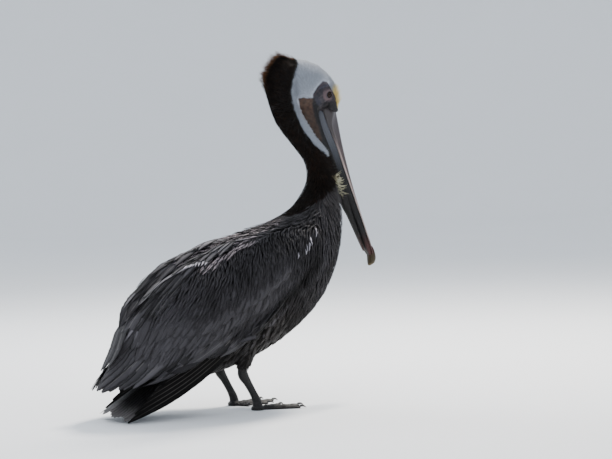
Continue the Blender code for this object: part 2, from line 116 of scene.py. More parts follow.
def table_at(rows, places):
    """Catmull-Rom reading of a table whose first column runs one way."""
    rows = np.array(rows, float)
    key = rows[:, 0] if rows[-1, 0] > rows[0, 0] else -rows[:, 0]
    wanted = np.asarray(places, float) if rows[-1, 0] > rows[0, 0] else -np.asarray(places, float)
    k = np.clip(np.searchsorted(key, wanted, "right") - 1, 0, len(key) - 2)
    t = ((wanted - key[k]) / (key[k + 1] - key[k]))[..., None]
    slope = np.gradient(rows[:, 1:], key, axis=0)
    span = (key[k + 1] - key[k])[..., None]
    a, b = rows[k, 1:], rows[k + 1, 1:]
    return ((2 * t ** 3 - 3 * t ** 2 + 1) * a + (t ** 3 - 2 * t ** 2 + t) * span * slope[k]
            + (3 * t ** 2 - 2 * t ** 3) * b + (t ** 3 - t ** 2) * span * slope[k + 1])


def along_line(points, count, start=0.0, end=1.0):
    """count places spread evenly along a polyline of (a, b) points."""
    points = np.array(points, float)
    run = np.concatenate([[0], np.cumsum(np.linalg.norm(np.diff(points, axis=0), axis=1))])
    wanted = np.linspace(start, end, count) * run[-1]
    return np.stack([np.interp(wanted, run, points[:, k]) for k in range(points.shape[1])], -1)


def inside(outline, a, b, soft):
    """1 well inside a closed outline of (a, b) points and 0 well outside it, turning over a width of soft."""
    outline = np.array(outline, float)
    p = np.stack((a, b), -1)
    nearest = np.full(p.shape[:-1], 1e9)
    crossed = np.zeros(p.shape[:-1], bool)
    for first, second in zip(outline, np.roll(outline, -1, axis=0)):
        edge = second - first
        t = np.clip(((p - first) @ edge) / (edge @ edge), 0, 1)
        nearest = np.minimum(nearest, np.linalg.norm(p - first - t[..., None] * edge, axis=-1))
        if first[1] != second[1]:
            spans = (first[1] > b) != (second[1] > b)
            crossed ^= spans & (a < first[0] + (b - first[1]) / (second[1] - first[1]) * edge[0])
    return smooth(np.where(crossed, nearest, -nearest), -soft / 2, soft / 2)


def ripple(points, scale, seed):
    """Smooth noise from -1 to 1, of a size in metres."""
    rng = np.random.default_rng(seed)
    total = np.zeros(points.shape[:-1])
    for _ in range(7):
        way = unit(rng.normal(size=3)) * rng.uniform(0.6, 1.5) * tau / scale
        total += np.sin(points @ way + rng.uniform(0, tau))
    return total / 4


# ---------------------------------------------------------------- colours and markings

BLACK = (0.0, 0.0, 0.0)
SHADOW = (0.0030, 0.0028, 0.0030)
# head and neck
WHITE = (0.58, 0.60, 0.64)
# painted shade: the white cap's sides are bluish grey
CAP_SIDE_SHADE = (0.25, 0.30, 0.39)
CREAM = (0.92, 0.76, 0.32)
NECK_DARK = (0.0060, 0.0046, 0.0042)
NECK_WARM = (0.0098, 0.0060, 0.0048)
NECK_PALE = (0.30, 0.27, 0.18)
TUFT = (0.52, 0.50, 0.36)
TUFT_RIM = (0.34, 0.32, 0.22)
CHESTNUT = (0.150, 0.072, 0.036)
# bare skin
FACE_GREY = (0.0100, 0.0100, 0.0150)
FACE_PINK = (0.110, 0.074, 0.080)
FACE_MAUVE = (0.050, 0.042, 0.052)
FACE_BLUE = (0.016, 0.019, 0.033)
BROW_BLUE = (0.028, 0.031, 0.052)
LID_DARK = (0.026, 0.021, 0.023)
POUCH_OCHRE = (0.050, 0.027, 0.0180)
POUCH_DARK = (0.0080, 0.0075, 0.0074)
POUCH_RED = (0.045, 0.0145, 0.013)
CHEEK_DARK = (0.0050, 0.0048, 0.0062)
LEG = (0.018, 0.0165, 0.0168)
# trunk, wings and tail
SILVER = (0.096, 0.091, 0.102)
SLATE = (0.0098, 0.0090, 0.0098)
BELLY = (0.0165, 0.0138, 0.0126)
UMBER = (0.0078, 0.0066, 0.0064)
BREAST_RIM = (0.0050, 0.0045, 0.0048)
BREAST_LIT = (0.085, 0.080, 0.088)
PRIMARY = (0.0046, 0.0042, 0.0042)
TAIL_DARK = (0.0130, 0.0120, 0.0128)
TAIL_WORN = (0.150, 0.142, 0.142)
MANTLE_PALE_AND_SUNLIT_GAIN = (3.5, 3.14, 3.02)      # how much paler the mantle's front is than the wing: partly its own silver, partly painted sunlight

CAP_SOFT = 0.0045                    # widths over which a marking's edge turns
BARE_SOFT = 0.003
PATCH_SOFT = 0.008
COLLAR_SOFT = 0.006

# Outlines on the side of the head, as (x, z).
CAP_OUTLINE = [(0.149, 0.740), (0.146, 0.698), (0.136, 0.681), (0.127, 0.6605), (0.122, 0.6435),
               (0.1225, 0.630), (0.1303, 0.6027), (0.1421, 0.5787), (0.1545, 0.5547), (0.1747, 0.5337),
               (0.213, 0.506), (0.30, 0.56), (0.30, 0.74)]
FACE_OUTLINE = [(0.2080, 0.6600), (0.197, 0.661), (0.184, 0.650), (0.174, 0.635), (0.1745, 0.624),
                (0.183, 0.603), (0.192, 0.575), (0.26, 0.575), (0.26, 0.600), (0.237, 0.606), (0.231, 0.630),
                (0.2205, 0.643), (0.2150, 0.652)]
OCHRE_OUTLINE = [(0.1426, 0.6265), (0.157, 0.6285), (0.1775, 0.6265), (0.195, 0.600), (0.205, 0.560),
                 (0.216, 0.515), (0.205, 0.523), (0.183, 0.548), (0.165, 0.576), (0.152, 0.604)]
PALE_PATCH = [(0.219, 0.464), (0.248, 0.470), (0.264, 0.458), (0.266, 0.424), (0.248, 0.418), (0.232, 0.438)]
BREAST_LINE = [(0.102, 0.4215), (0.1235, 0.3915), (0.146, 0.4012), (0.165, 0.4176), (0.183, 0.4307),
               (0.201, 0.4403), (0.225, 0.456), (0.30, 0.49), (0.30, -0.1), (-0.5, -0.1), (-0.5, 0.4215)]


def paint(colour, other, share):
    """The colour with a share, one number for each place, of another."""
    return mix(colour, other, np.asarray(share)[..., None])


def bare_skin(points):
    """How much of each place on head and neck is bare: face, and the pouch's rear end on the cheek."""
    x, z = points[..., 0], points[..., 2]
    return np.maximum(inside(FACE_OUTLINE, x, z, BARE_SOFT), inside(OCHRE_OUTLINE, x, z, BARE_SOFT))


def head_colour(points):
    """Markings of head and neck, with painted shade on the white cap's sides."""
    x, y, z = points[..., 0], points[..., 1], points[..., 2]
    wobble = 0.0012 * ripple(points, 0.012, 3)
    dark = paint(NECK_DARK, NECK_WARM, smooth(ripple(points, 0.05, 5), -0.3, 1.2))
    cap = inside(CAP_OUTLINE, x + wobble, z + wobble, CAP_SOFT)
    # painted shade: the white cap darkens to bluish grey towards its sides
    colour = paint(dark, paint(WHITE, CAP_SIDE_SHADE, 0.55 * smooth(np.abs(y), 0.006, 0.020)), cap)
    forehead = smooth(x, 0.219, 0.229) * smooth(z, 0.598, 0.608) * smooth(0.654 - z, 0, 0.010)
    colour = paint(colour, CREAM, forehead)
    return paint(colour, NECK_PALE, inside(PALE_PATCH, x, z, PATCH_SOFT) * (1 - cap))


def body_colour(points):
    """Markings of trunk, thighs and wings under the feathers."""
    s, d = back_place(points)
    streaks = smooth(ripple(points, 0.02, 7), -0.4, 0.8)
    under = paint(BELLY, mix(UMBER, SILVER, 0.25), smooth(s, 0.20, 0.36))
    return paint(under, paint(UMBER, SILVER, 0.35 + 0.2 * streaks), smooth(d, -0.03, 0.06))


def face_colour(points):
    """Grey skin with a pink ring round the eye, and the dark skin at the bill's base."""
    x, z = points[..., 0], points[..., 2]
    from_eye = np.hypot(x - EYE.x, z - EYE.z)
    from_ring = np.hypot(x - EYE.x + 0.0030, z - EYE.z + 0.0022)
    blotch = smooth(ripple(points, 0.010, 11), -0.6, 0.9)
    brow = bump(z - (0.652 + 0.35 * (x - 0.205)), 0, 0.0030) * smooth(x, 0.180, 0.195)
    colour = paint(FACE_GREY, mix(FACE_GREY, FACE_PINK, 0.55), blotch * 0.55)
    colour = paint(colour, FACE_MAUVE, smooth(z, 0.650, 0.656) * smooth(x, 0.186, 0.194) * 0.7)
    colour = paint(colour, FACE_BLUE, bump(x, 0.187, 0.012) * bump(z, 0.618, 0.012) * 0.8)
    colour = paint(colour, FACE_PINK, bump(from_ring, 0.0082, 0.0038) * 0.9)
    colour = paint(colour, LID_DARK, bump(from_eye, 0.0052, 0.0010) * 0.7)
    colour = paint(colour, BROW_BLUE, brow * 0.7)
    colour = colour * (1 - 0.70 * smooth(x, 0.194, 0.208) * smooth(0.624 - z, 0, 0.010))[..., None]
    return paint(colour, pouch_colour(points), smooth(bill_place(points)[0], 0.03, 0.10))


def pouch_colour(points):
    return paint(POUCH_DARK, POUCH_RED, smooth(bill_place(points)[0], 0.78, 0.92) * 0.7)


# Front edge of the ochre skin on the cheek, as (z, x), from low to high.
CHEEK_EDGE = [(0.545, 0.1985), (0.5625, 0.1925), (0.5745, 0.1872), (0.5825, 0.1840), (0.598, 0.1785),
              (0.614, 0.1755), (0.630, 0.1745)]


def cheek_colour(points, colour):
    """Adds the ochre skin between the white stripe and the bill, with the dark band along its front."""
    x, z = points[..., 0], points[..., 2]
    band = smooth(x - np.interp(z, *np.array(CHEEK_EDGE).T), -0.003, 0.003)
    mottle = (0.7 + 0.6 * smooth(ripple(points, 0.009, 13), -1, 1)) * (0.55 + 0.45 * smooth(z, 0.565, 0.615))
    skin = np.array(POUCH_OCHRE) * mottle[..., None]
    return paint(colour, paint(skin, CHEEK_DARK, band), inside(OCHRE_OUTLINE, x, z, 0.004))


# ---------------------------------------------------------------- materials

class Nodes:
    """A short way to write a node material."""

    def __init__(self, name):
        self.material = bpy.data.materials.new(name)
        self.material.use_nodes = True
        self.tree = self.material.node_tree
        self.surface = next(n for n in self.tree.nodes if n.type == "BSDF_PRINCIPLED")

    def put(self, socket, value):
        if isinstance(value, bpy.types.NodeSocket):
            self.tree.links.new(value, socket)
        else:
            socket.default_value = value

    def add(self, kind, inputs=(), **settings):
        """A node with these settings, whose first inputs take these values or sockets."""
        node = self.tree.nodes.new(kind)
        for key, value in settings.items():
            setattr(node, key, value)
        for socket, value in zip(node.inputs, inputs):
            self.put(socket, value)
        return node

    def math(self, operation, first, second=0.0, third=0.0):
        return self.add("ShaderNodeMath", (first, second, third), operation=operation).outputs[0]

    def times(self, product, *factors):
        for factor in factors:
            product = self.math("MULTIPLY", product, factor)
        return product

    def mix(self, first, second, share):
        node = self.add("ShaderNodeMix", (share,), data_type="RGBA")
        for socket, colour in ((node.inputs[6], first), (node.inputs[7], second)):
            self.put(socket, colour if isinstance(colour, bpy.types.NodeSocket) else (*colour, 1))
        return node.outputs[2]

    def layers(self, colour, *coats):
        """A colour under coats given as (colour, share), one over another."""
        for over, share in coats:
            colour = self.mix(colour, over, share)
        return colour

    def ramp(self, value, low, high, start=0.0, end=1.0):
        inputs = (value, low, high, start, end)
        return self.add("ShaderNodeMapRange", inputs, interpolation_type="SMOOTHSTEP").outputs[0]

    def attribute(self, name):
        return self.add("ShaderNodeAttribute", attribute_name=name).outputs["Color"]

    def uv(self, name):
        source = self.add("ShaderNodeUVMap", uv_map=name).outputs[0]
        return (source, *self.add("ShaderNodeSeparateXYZ", (source,)).outputs[:2])

    def combine(self, x, y):
        return self.add("ShaderNodeCombineXYZ", (x, y)).outputs[0]

    def stretch(self, vector, scale):
        node = self.add("ShaderNodeMapping", (vector,))
        node.inputs["Scale"].default_value = scale
        return node.outputs[0]

    def place(self):
        return self.stretch(self.add("ShaderNodeTexCoord").outputs["Object"], (1, 1, 1))

    def noise(self, vector, scale, detail=3.0, roughness=0.55):
        node = self.add("ShaderNodeTexNoise")
        values = {"Vector": vector, "Scale": scale, "Detail": detail, "Roughness": roughness}
        for key, value in values.items():
            self.put(node.inputs[key], value)
        return node.outputs[0]

    def cells(self, vector, scale):
        """How far each place is from its cell's edge."""
        node = self.add("ShaderNodeTexVoronoi", feature="DISTANCE_TO_EDGE")
        self.put(node.inputs["Vector"], vector)
        node.inputs["Scale"].default_value = scale
        return node.outputs[0]

    def bumps(self, *heights):
        """Stacks bumps given as (height, distance in metres)."""
        below = None
        for height, distance in heights:
            node = self.add("ShaderNodeBump")
            self.put(node.inputs["Height"], height)
            node.inputs["Distance"].default_value = distance
            if below is not None:
                self.tree.links.new(below, node.inputs["Normal"])
            below = node.outputs[0]
        self.tree.links.new(below, self.surface.inputs["Normal"])

    def finish(self, colour, roughness, specular=0.5, sheen=0.0, coat=0.0, coat_roughness=0.1):
        self.put(self.surface.inputs["Base Color"], colour)
        self.put(self.surface.inputs["Roughness"], roughness)
        self.surface.inputs["Specular IOR Level"].default_value = specular
        self.surface.inputs["Sheen Weight"].default_value = sheen
        self.surface.inputs["Coat Weight"].default_value = coat
        self.surface.inputs["Coat Roughness"].default_value = coat_roughness
        return self.material


# Each kind of vane: where across it the rim's colour starts and where it is full, number of barbs, streaks,
# strength and colour of the shaft, roughness, sheen, specular.
VANES = {"head_down": (0.55, 1.05, 9.0, 0.22, 0.0, BLACK, 0.74, 0.08, 0.16),
         "neck_velvet": (0.55, 1.05, 9.0, 0.35, 0.0, BLACK, 0.82, 0.0, 0.08),
         "body_vane": (0.20, 0.64, 16.0, 0.34, 0.35, (0.16, 0.15, 0.15), 0.62, 0.03, 0.11),
         "covert_vane": (0.30, 0.95, 18.0, 0.32, 0.22, (0.10, 0.095, 0.095), 0.62, 0.02, 0.12),
         "quill_vane": (0.30, 1.05, 70.0, 0.34, 0.55, (0.15, 0.14, 0.135), 0.58, 0.03, 0.16),
         "mantle_vane": (0.28, 0.80, 20.0, 0.34, 0.30, (0.30, 0.275, 0.265), 0.60, 0.05, 0.16),
         "scapular_vane": (0.30, 0.85, 48.0, 0.32, 0.45, (0.20, 0.185, 0.18), 0.58, 0.04, 0.16),
         "primary_vane": (0.45, 1.05, 90.0, 0.35, 0.40, (0.13, 0.12, 0.11), 0.55, 0.0, 0.06),
         "tail_vane": (0.45, 1.05, 80.0, 0.40, 0.8, (0.10, 0.092, 0.088), 0.58, 0.02, 0.10)}
BARB_SLANT = 0.16
BARB_DEPTH = 0.00012
GRAIN_DEPTH = 0.00035


def feather_material(name):
    """A vane: tint in the middle, rim colour towards its edges, slanting barbs and uneven wear."""
    rim_from, rim_to, barbs, streak, shaft, shaft_colour, roughness, sheen, specular = VANES[name]
    n = Nodes(name)
    _, u, v = n.uv("vane")
    out = n.math("ABSOLUTE", n.math("MULTIPLY_ADD", u, 2.0, -1.0))
    shift = n.times(n.add("ShaderNodeSeparateXYZ", (n.attribute("spot"),)).outputs[0], 37.0)
    barb_line = n.math("ADD", n.times(v, barbs), n.times(out, -barbs * BARB_SLANT))
    fine = n.noise(n.combine(n.math("ADD", n.times(u, 3.0), shift), barb_line), 1.0, 4.0, 0.65)
    streaks = n.noise(n.combine(n.math("ADD", n.times(u, 9.0), shift), n.times(v, 1.6)), 1.0, 3.0, 0.6)
    edge = n.ramp(n.math("ADD", out, n.math("MULTIPLY_ADD", fine, 0.36, -0.18)), rim_from, rim_to)
    wear = n.math("ADD", n.math("MULTIPLY_ADD", fine, streak, 1 - streak / 2),
                  n.math("MULTIPLY_ADD", streaks, streak * 1.6, -streak * 0.8))
    colour = n.mix(n.attribute("tint"), n.attribute("rim"), edge)
    shade = n.add("ShaderNodeVectorMath", (colour,), operation="SCALE")
    n.put(shade.inputs["Scale"], wear)
    colour = shade.outputs[0]
    if shaft:
        colour = n.mix(colour, shaft_colour, n.ramp(out, 0.075, 0.03, 0.0, shaft))
    n.bumps((n.math("SINE", n.times(barb_line, 6.0)), BARB_DEPTH), (fine, GRAIN_DEPTH))
    return n.finish(colour, n.ramp(fine, 0.2, 0.8, roughness - 0.08, roughness + 0.12), specular, sheen)


def skin_material(name, cell_size, roughness, depth, lines, coat=0.0):
    """Bare skin: its markings, mottled, with small plates or pores of about cell_size."""
    n = Nodes(name)
    place = n.place()
    blotch = n.noise(place, 60.0, 4.0)
    grain = n.noise(place, 900.0, 3.0, 0.6)
    crease = n.ramp(n.cells(place, 1 / cell_size), 0.0, 0.18)
    tint = n.attribute("tint")
    colour = n.layers(n.mix(tint, BLACK, lines), (tint, crease),
                      ((0.6, 0.55, 0.52), n.ramp(blotch, 0.45, 0.8, 0.0, 0.03)),
                      (BLACK, n.ramp(grain, 0.55, 0.8, 0.0, 0.22)))
    n.bumps((crease, depth), (grain, depth * 0.5), (blotch, depth))
    rough = n.ramp(blotch, 0.3, 0.7, roughness - 0.08, roughness + 0.1)
    return n.finish(colour, rough, 0.20, 0.01, coat, 0.3)


# ---------------------------------------------------------------- meshes

def mesh_object(name, points, faces, material=None, smooth_shade=True):
    """A mesh from point and face arrays; faces is a list of arrays, each with rows of one length."""
    mesh = bpy.data.meshes.new(name)
    loops = np.concatenate([block.ravel() for block in faces]).astype(np.int32)
    sizes = np.concatenate([np.full(len(block), block.shape[1]) for block in faces])
    mesh.vertices.add(len(points))
    mesh.vertices.foreach_set("co", np.asarray(points, np.float32).ravel())
    mesh.loops.add(len(loops))
    mesh.loops.foreach_set("vertex_index", loops)
    mesh.polygons.add(len(sizes))
    starts = np.concatenate([[0], np.cumsum(sizes)[:-1]]).astype(np.int32)
    mesh.polygons.foreach_set("loop_start", starts)
    mesh.update(calc_edges=True)
    if smooth_shade:
        mesh.shade_smooth()
    obj = bpy.data.objects.new(name, mesh)
    bpy.context.scene.collection.objects.link(obj)
    if material is not None:
        mesh.materials.append(material)
    return obj, loops


def read_values(collection, key, columns=3, kind=float):
    """One value of each item of a Blender collection, as an array."""
    values = np.empty(len(collection) * columns, kind)
    collection.foreach_get(key, values)
    return values.reshape(-1, columns)


def give_uv(obj, name, loops, values):
    layer = obj.data.uv_layers.new(name=name)
    layer.uv.foreach_set("vector", np.asarray(values, np.float32)[loops].ravel())


def give_colour(obj, name, values):
    full = np.ones((len(values), 4), np.float32)
    full[:, :3] = values
    layer = obj.data.color_attributes.new(name=name, type="FLOAT_COLOR", domain="POINT")
    layer.data.foreach_set("color", full.ravel())


def settle(obj, slot, *nodes):
    """The piece rides on the one body and stands for these CAD nodes, which it hides; the slot is not used.
    """
    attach(obj, "root")
    if nodes:
        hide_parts(*nodes)


def loft_faces(rows, sides):
    """Quads between closed rings of points, and a cap on each end."""
    k = np.arange(sides)
    after = (k + 1) % sides
    r = np.arange(rows - 1)[:, None] * sides
    quads = np.stack((r + k, r + after, r + sides + after, r + sides + k), -1).reshape(-1, 4)
    return [quads, k[::-1][None], k[None] + (rows - 1) * sides]


def outward(points, faces):
    """The faces, turned so that they face out of a closed shape."""
    volume = 0.0
    for block in faces:
        a = points[block[:, 0]]
        for k in range(1, block.shape[1] - 1):
            cross = np.cross(points[block[:, k]], points[block[:, k + 1]])
            volume += np.einsum("ij,ij->i", a, cross).sum()
    return faces if volume > 0 else [block[:, ::-1] for block in faces]


def loft(name, rings, material, run, turn):
    """A closed solid through rings, (rows, sides, 3). Its map "run" is (run of the row, turn of the side)."""
    rows, sides = rings.shape[:2]
    points = rings.reshape(-1, 3)
    obj, loops = mesh_object(name, points, outward(points, loft_faces(rows, sides)), material)
    uv = np.stack(np.broadcast_arrays(run[:, None], turn[None]), -1)
    give_uv(obj, "run", loops, uv.reshape(-1, 2))
    return obj


def vertex_normals(points, faces):
    normals = np.zeros_like(points)
    for block in faces:
        a, b, c = points[block[:, 0]], points[block[:, 1]], points[block[:, 2]]
        d = points[block[:, -1]]
        flat = np.cross(c - a, d - b) if block.shape[1] == 4 else np.cross(b - a, c - a)
        for k in range(block.shape[1]):
            for axis in range(3):
                normals[:, axis] += np.bincount(block[:, k], flat[:, axis], len(points))
    return unit(normals)


def links_of(faces):
    pairs = np.concatenate([np.stack((block[:, k], block[:, (k + 1) % block.shape[1]]), -1)
                            for block in faces for k in range(block.shape[1])])
    return np.unique(np.sort(pairs, axis=1), axis=0)


def averaged(values, links, count):
    """Each point's mean over its neighbours."""
    a, b = links[:, 0], links[:, 1]
    degree = np.maximum(np.bincount(a, minlength=count) + np.bincount(b, minlength=count), 1)
    flat = values.reshape(count, -1)
    total = np.stack([np.bincount(a, flat[b, k], count) + np.bincount(b, flat[a, k], count)
                      for k in range(flat.shape[1])], -1)
    return (total / degree[:, None]).reshape(values.shape)


def evened(points, links, rounds):
    """Smooths facets away without shrinking the shape."""
    for _ in range(rounds):
        for step in (0.55, -0.58):
            points = points + step * (averaged(points, links, len(points)) - points)
    return points


# ---------------------------------------------------------------- the surface under the coat

FLESH = ["head", "neck_upper", "neck_middle", "neck_lower", "trunk", "pouch", "thigh_R", "thigh_L",
         "wing_R_coverts", "wing_L_coverts"]
VOXEL = 0.0024
EVEN_ROUNDS = 24                     # rounds of smoothing: the surface, its depth, its reach and its flow
DEPTH_ROUNDS = 8
REACH_ROUNDS = 25
FLOW_ROUNDS = 30
FAR = 1e9
TRIES = 3.2                          # tries for each root that a surface has room for
MOST_BEND = 0.86                     # cosine of the sharpest turn that a feather follows
SWELL = 0.0003                       # closes the air gaps between neighbouring solids
ROOT_DEPTH = 0.0006                  # roots lie this far under the skin


def cad_mesh(names, swell):
    """Points and triangles of CAD nodes, a little swollen, and the index of each triangle's node."""
    points, faces, owners = [], [], []
    count = 0
    for index, name in enumerate(names):
        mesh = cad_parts[name].data
        mesh.calc_loop_triangles()
        triangles = read_values(mesh.loop_triangles, "vertices", 3, np.int32)
        own = read_values(mesh.vertices, "co")
        _, first, joined = np.unique(np.round(own, 6), axis=0, return_index=True, return_inverse=True)
        own, triangles = own[first], joined.reshape(-1)[triangles]
        points.append(own + swell * vertex_normals(own, [triangles]))
        faces.append(triangles + count)
        owners.append(np.full(len(triangles), index))
        count += len(own)
    return np.concatenate(points), np.concatenate(faces), np.concatenate(owners)


def remeshed(points, triangles, voxel):
    obj, _ = mesh_object("remesh", points, [triangles], smooth_shade=False)
    modifier = obj.modifiers.new("voxels", "REMESH")
    modifier.mode = "VOXEL"
    modifier.voxel_size = voxel
    graph = bpy.context.evaluated_depsgraph_get()
    made = bpy.data.meshes.new_from_object(obj.evaluated_get(graph))
    bpy.data.objects.remove(obj)
    if (read_values(made.polygons, "loop_total", 1, np.int32) != 4).any():
        raise ValueError("the remesh holds faces that aren't quads")
    quads = read_values(made.loops, "vertex_index", 1, np.int32).reshape(-1, 4)
    return read_values(made.vertices, "co"), quads


def largest_body(points, quads):
    """Leaves out closed bubbles inside the shape."""
    links = links_of([quads])
    label = np.arange(len(points))
    while True:
        low = np.minimum(label[links[:, 0]], label[links[:, 1]])
        new = label.copy()
        np.minimum.at(new, links[:, 0], low)
        np.minimum.at(new, links[:, 1], low)
        new = new[new]
        if (new == label).all():
            break
        label = new
    main = np.bincount(label).argmax()
    keep = label == main
    index = np.cumsum(keep) - 1
    return points[keep], index[quads[keep[quads[:, 0]]]]


class Surface:
    """A closed surface with its normals, its flow (the lie of the coat) and a search tree."""

    def __init__(self, points, quads):
        self.points, self.quads = points, quads
        self.links = links_of([quads])
        self.normals = vertex_normals(points, [quads])
        self.tree = BVHTree.FromPolygons(points.tolist(), quads.tolist())
        self.face_normals = unit(self.normals[quads].mean(axis=1))

    def find_flow(self, sources, closed_off):
        """Lays the coat away from the sources over the surface, and not through the closed-off points."""
        count = len(self.points)
        diagonals = np.concatenate([self.quads[:, [0, 2]], self.quads[:, [1, 3]]])
        pairs = np.concatenate([self.links, diagonals])
        spans = np.linalg.norm(self.points[pairs[:, 0]] - self.points[pairs[:, 1]], axis=1)
        near = [[] for _ in range(count)]
        for (a, b), span in zip(pairs.tolist(), spans.tolist()):
            near[a].append((b, span))
            near[b].append((a, span))
        reach = [FAR] * count
        queue = [(0.0, k) for k in np.flatnonzero(sources).tolist()]
        for _, k in queue:
            reach[k] = 0.0
        shut = closed_off.tolist()
        while queue:
            so_far, k = heapq.heappop(queue)
            if so_far > reach[k]:
                continue
            for other, span in near[k]:
                if so_far + span < reach[other] and not shut[other]:
                    reach[other] = so_far + span
                    heapq.heappush(queue, (so_far + span, other))
        reach = np.array(reach)
        self.reach = np.where(reach == FAR, reach[reach < FAR].max(), reach)
        for _ in range(REACH_ROUNDS):
            self.reach = averaged(self.reach, self.links, count)
        a, b = self.links.T
        step = self.points[b] - self.points[a]
        push = step * ((self.reach[b] - self.reach[a]) / (step ** 2).sum(axis=1))[:, None]
        flow = np.stack([np.bincount(a, push[:, k], count) + np.bincount(b, push[:, k], count)
                         for k in range(3)], -1)
        flow = self.tangent(flow)
        for _ in range(FLOW_ROUNDS):
            flow = self.tangent(averaged(flow, self.links, count))
        self.flow = flow
        self.face_flow = unit(self.flow[self.quads].mean(axis=1))

    def tangent(self, vectors):
        across = np.einsum("ij,ij->i", vectors, self.normals)
        return unit(vectors - across[:, None] * self.normals)

    def scatter(self, wanted, spacing, seed):
        """Random roots at least spacing apart on the quads where wanted is true. Gives places and quads."""
        rng = np.random.default_rng(seed)
        chosen = np.flatnonzero(wanted)
        corners = self.points[self.quads[chosen]]
        across = np.cross(corners[:, 2] - corners[:, 0], corners[:, 3] - corners[:, 1])
        area = np.linalg.norm(across, axis=1) / 2
        tries = int(area.sum() / spacing ** 2 * TRIES)
        pick = rng.choice(len(chosen), tries, p=area / area.sum())
        a, b = rng.random((2, tries, 1))
        c = corners[pick]
        spots = (c[:, 0] * (1 - a) + c[:, 1] * a) * (1 - b) + (c[:, 3] * (1 - a) + c[:, 2] * a) * b
        cells = np.floor(spots / spacing).astype(int)
        taken, kept = {}, []
        shifts = [(i, j, k) for i in (-1, 0, 1) for j in (-1, 0, 1) for k in (-1, 0, 1)]
        limit = spacing ** 2
        for index, ((x, y, z), (i, j, k)) in enumerate(zip(spots.tolist(), cells.tolist())):
            free = True
            for di, dj, dk in shifts:
                other = taken.get((i + di, j + dj, k + dk))
                if other is not None:
                    ox, oy, oz = other
                    if (x - ox) ** 2 + (y - oy) ** 2 + (z - oz) ** 2 < limit:
                        free = False
                        break
            if free:
                taken[(i, j, k)] = (x, y, z)
                kept.append(index)
        return spots[kept], chosen[pick[kept]]

    def follow(self, roots, headings, lengths, shares):
        """Lines that run over the surface from roots. Gives their points and normals, (n, rows, 3) each."""
        lines = np.empty((len(roots), len(shares), 3))
        normals = np.empty_like(lines)
        find = self.tree.find_nearest
        steps = np.diff(np.concatenate([[0], shares]))
        for k, (root, heading, length) in enumerate(zip(roots, headings, lengths)):
            place, way, normal, loose = Vector(root), Vector(heading), None, False
            for row, step in enumerate(steps):
                wanted = place + way * (length * step)
                if not loose:
                    spot, _, face, _ = find(wanted)
                    turned = (spot - place).normalized() if step > 0 else way
                    loose = step > 0 and turned.dot(way) < MOST_BEND
                if loose:                    # past an edge a feather goes straight on
                    spot = wanted
                else:
                    normal = Vector(self.face_normals[face])
                    way = turned - normal * turned.dot(normal)
                    way.normalize()
                place = spot
                lines[k, row] = spot
                normals[k, row] = normal
        return lines, normals


# ---------------------------------------------------------------- feathers

PATCH = 0.003                        # each feather's share of its coat's OFBake map
VANE_THICKNESS = 0.0005
SMALL_THICKNESS = 0.00025


def vane_rows(count):
    """Shares of a vane's length, closer together near its tip."""
    return np.linspace(0, 1, count) ** 0.85


def arch(x):
    return np.sqrt(np.clip(1 - x ** 2, 0, 1))


def outline(kind, v):
    """Half-width of a vane along its length, as a share of the widest."""
    if kind == "round":
        return (0.45 + 0.55 * smooth(v, 0, 0.45)) * arch(np.maximum(v - 0.66, 0) / 0.345) + 0.05
    if kind == "lance":
        return (0.5 + 0.5 * smooth(v, 0, 0.3)) * np.clip(1 - smooth(v, 0.25, 1.12) ** 1.3, 0, 1) + 0.02
    if kind == "quill":
        return (0.55 + 0.45 * smooth(v, 0, 0.35)) * arch(np.maximum(v - 0.86, 0) / 0.142) + 0.03
    if kind == "pointed":
        taper = np.clip(1 - (np.maximum(v - 0.62, 0) / 0.40) ** 2, 0, 1)
        return (0.55 + 0.45 * smooth(v, 0, 0.35)) * taper + 0.03
    return 1 - 0.86 * v                  # a bristle


class Coat:
    """Feathers of several tracts, gathered into one mesh."""

    def __init__(self, name, material, slot, *nodes):
        self.name, self.material, self.slot, self.nodes = name, material, slot, nodes
        self.points, self.quads, self.caps = [], [], []
        self.vane, self.bake, self.tint, self.rim, self.spot = [], [], [], [], []
        self.count = 0

    def add(self, rings, across, v, place, tint, rim):
        """rings is (n, rows, sides, 3); across is each side's u; place is each root's spot on the unwrap."""
        n, rows, sides = rings.shape[:3]
        if not n:
            return
        quads, first, last = loft_faces(rows, sides)
        if self.turned(rings[0], quads) < 0:
            quads, first, last = quads[:, ::-1], first[:, ::-1], last[:, ::-1]
        base = self.count + np.arange(n)[:, None, None] * rows * sides
        self.quads.append((base + quads).reshape(-1, 4))
        self.caps.append((base + np.concatenate([first, last])).reshape(-1, sides))
        uv = np.stack(np.broadcast_arrays(np.asarray(across)[None, :], np.asarray(v)[:, None]), -1)
        rng = np.random.default_rng(self.count + 17)
        for store, values in ((self.points, rings), (self.vane, uv), (self.spot, rng.random((n, 1, 1, 3))),
                              (self.bake, place[:, None, None, :] + (uv - 0.5) * PATCH),
                              (self.tint, tint), (self.rim, rim)):
            if values.ndim == 2:
                values = values[:, None, None]
            values = np.broadcast_to(values, (n, rows, sides, values.shape[-1]))
            store.append(values.reshape(-1, values.shape[-1]))
        self.count += n * rows * sides

    @staticmethod
    def turned(ring, quads):
        points = ring.reshape(-1, 3) - ring.reshape(-1, 3).mean(axis=0)
        a, b, c, d = (points[quads[:, k]] for k in range(4))
        return np.einsum("ij,ij->i", a, np.cross(b, c) + np.cross(c, d)).sum()

    def build(self):
        blocks = [np.concatenate(self.quads)]
        for sides in sorted({caps.shape[1] for caps in self.caps}):
            blocks.append(np.concatenate([caps for caps in self.caps if caps.shape[1] == sides]))
        obj, loops = mesh_object(self.name, np.concatenate(self.points), blocks, self.material)
        give_uv(obj, "vane", loops, np.concatenate(self.vane))
        give_uv(obj, "OFBake", loops, np.concatenate(self.bake))
        for key in ("tint", "rim", "spot"):
            give_colour(obj, key, np.concatenate(getattr(self, key)))
        settle(obj, self.slot, *self.nodes)


def build_all(*coats):
    for coat in coats:
        coat.build()


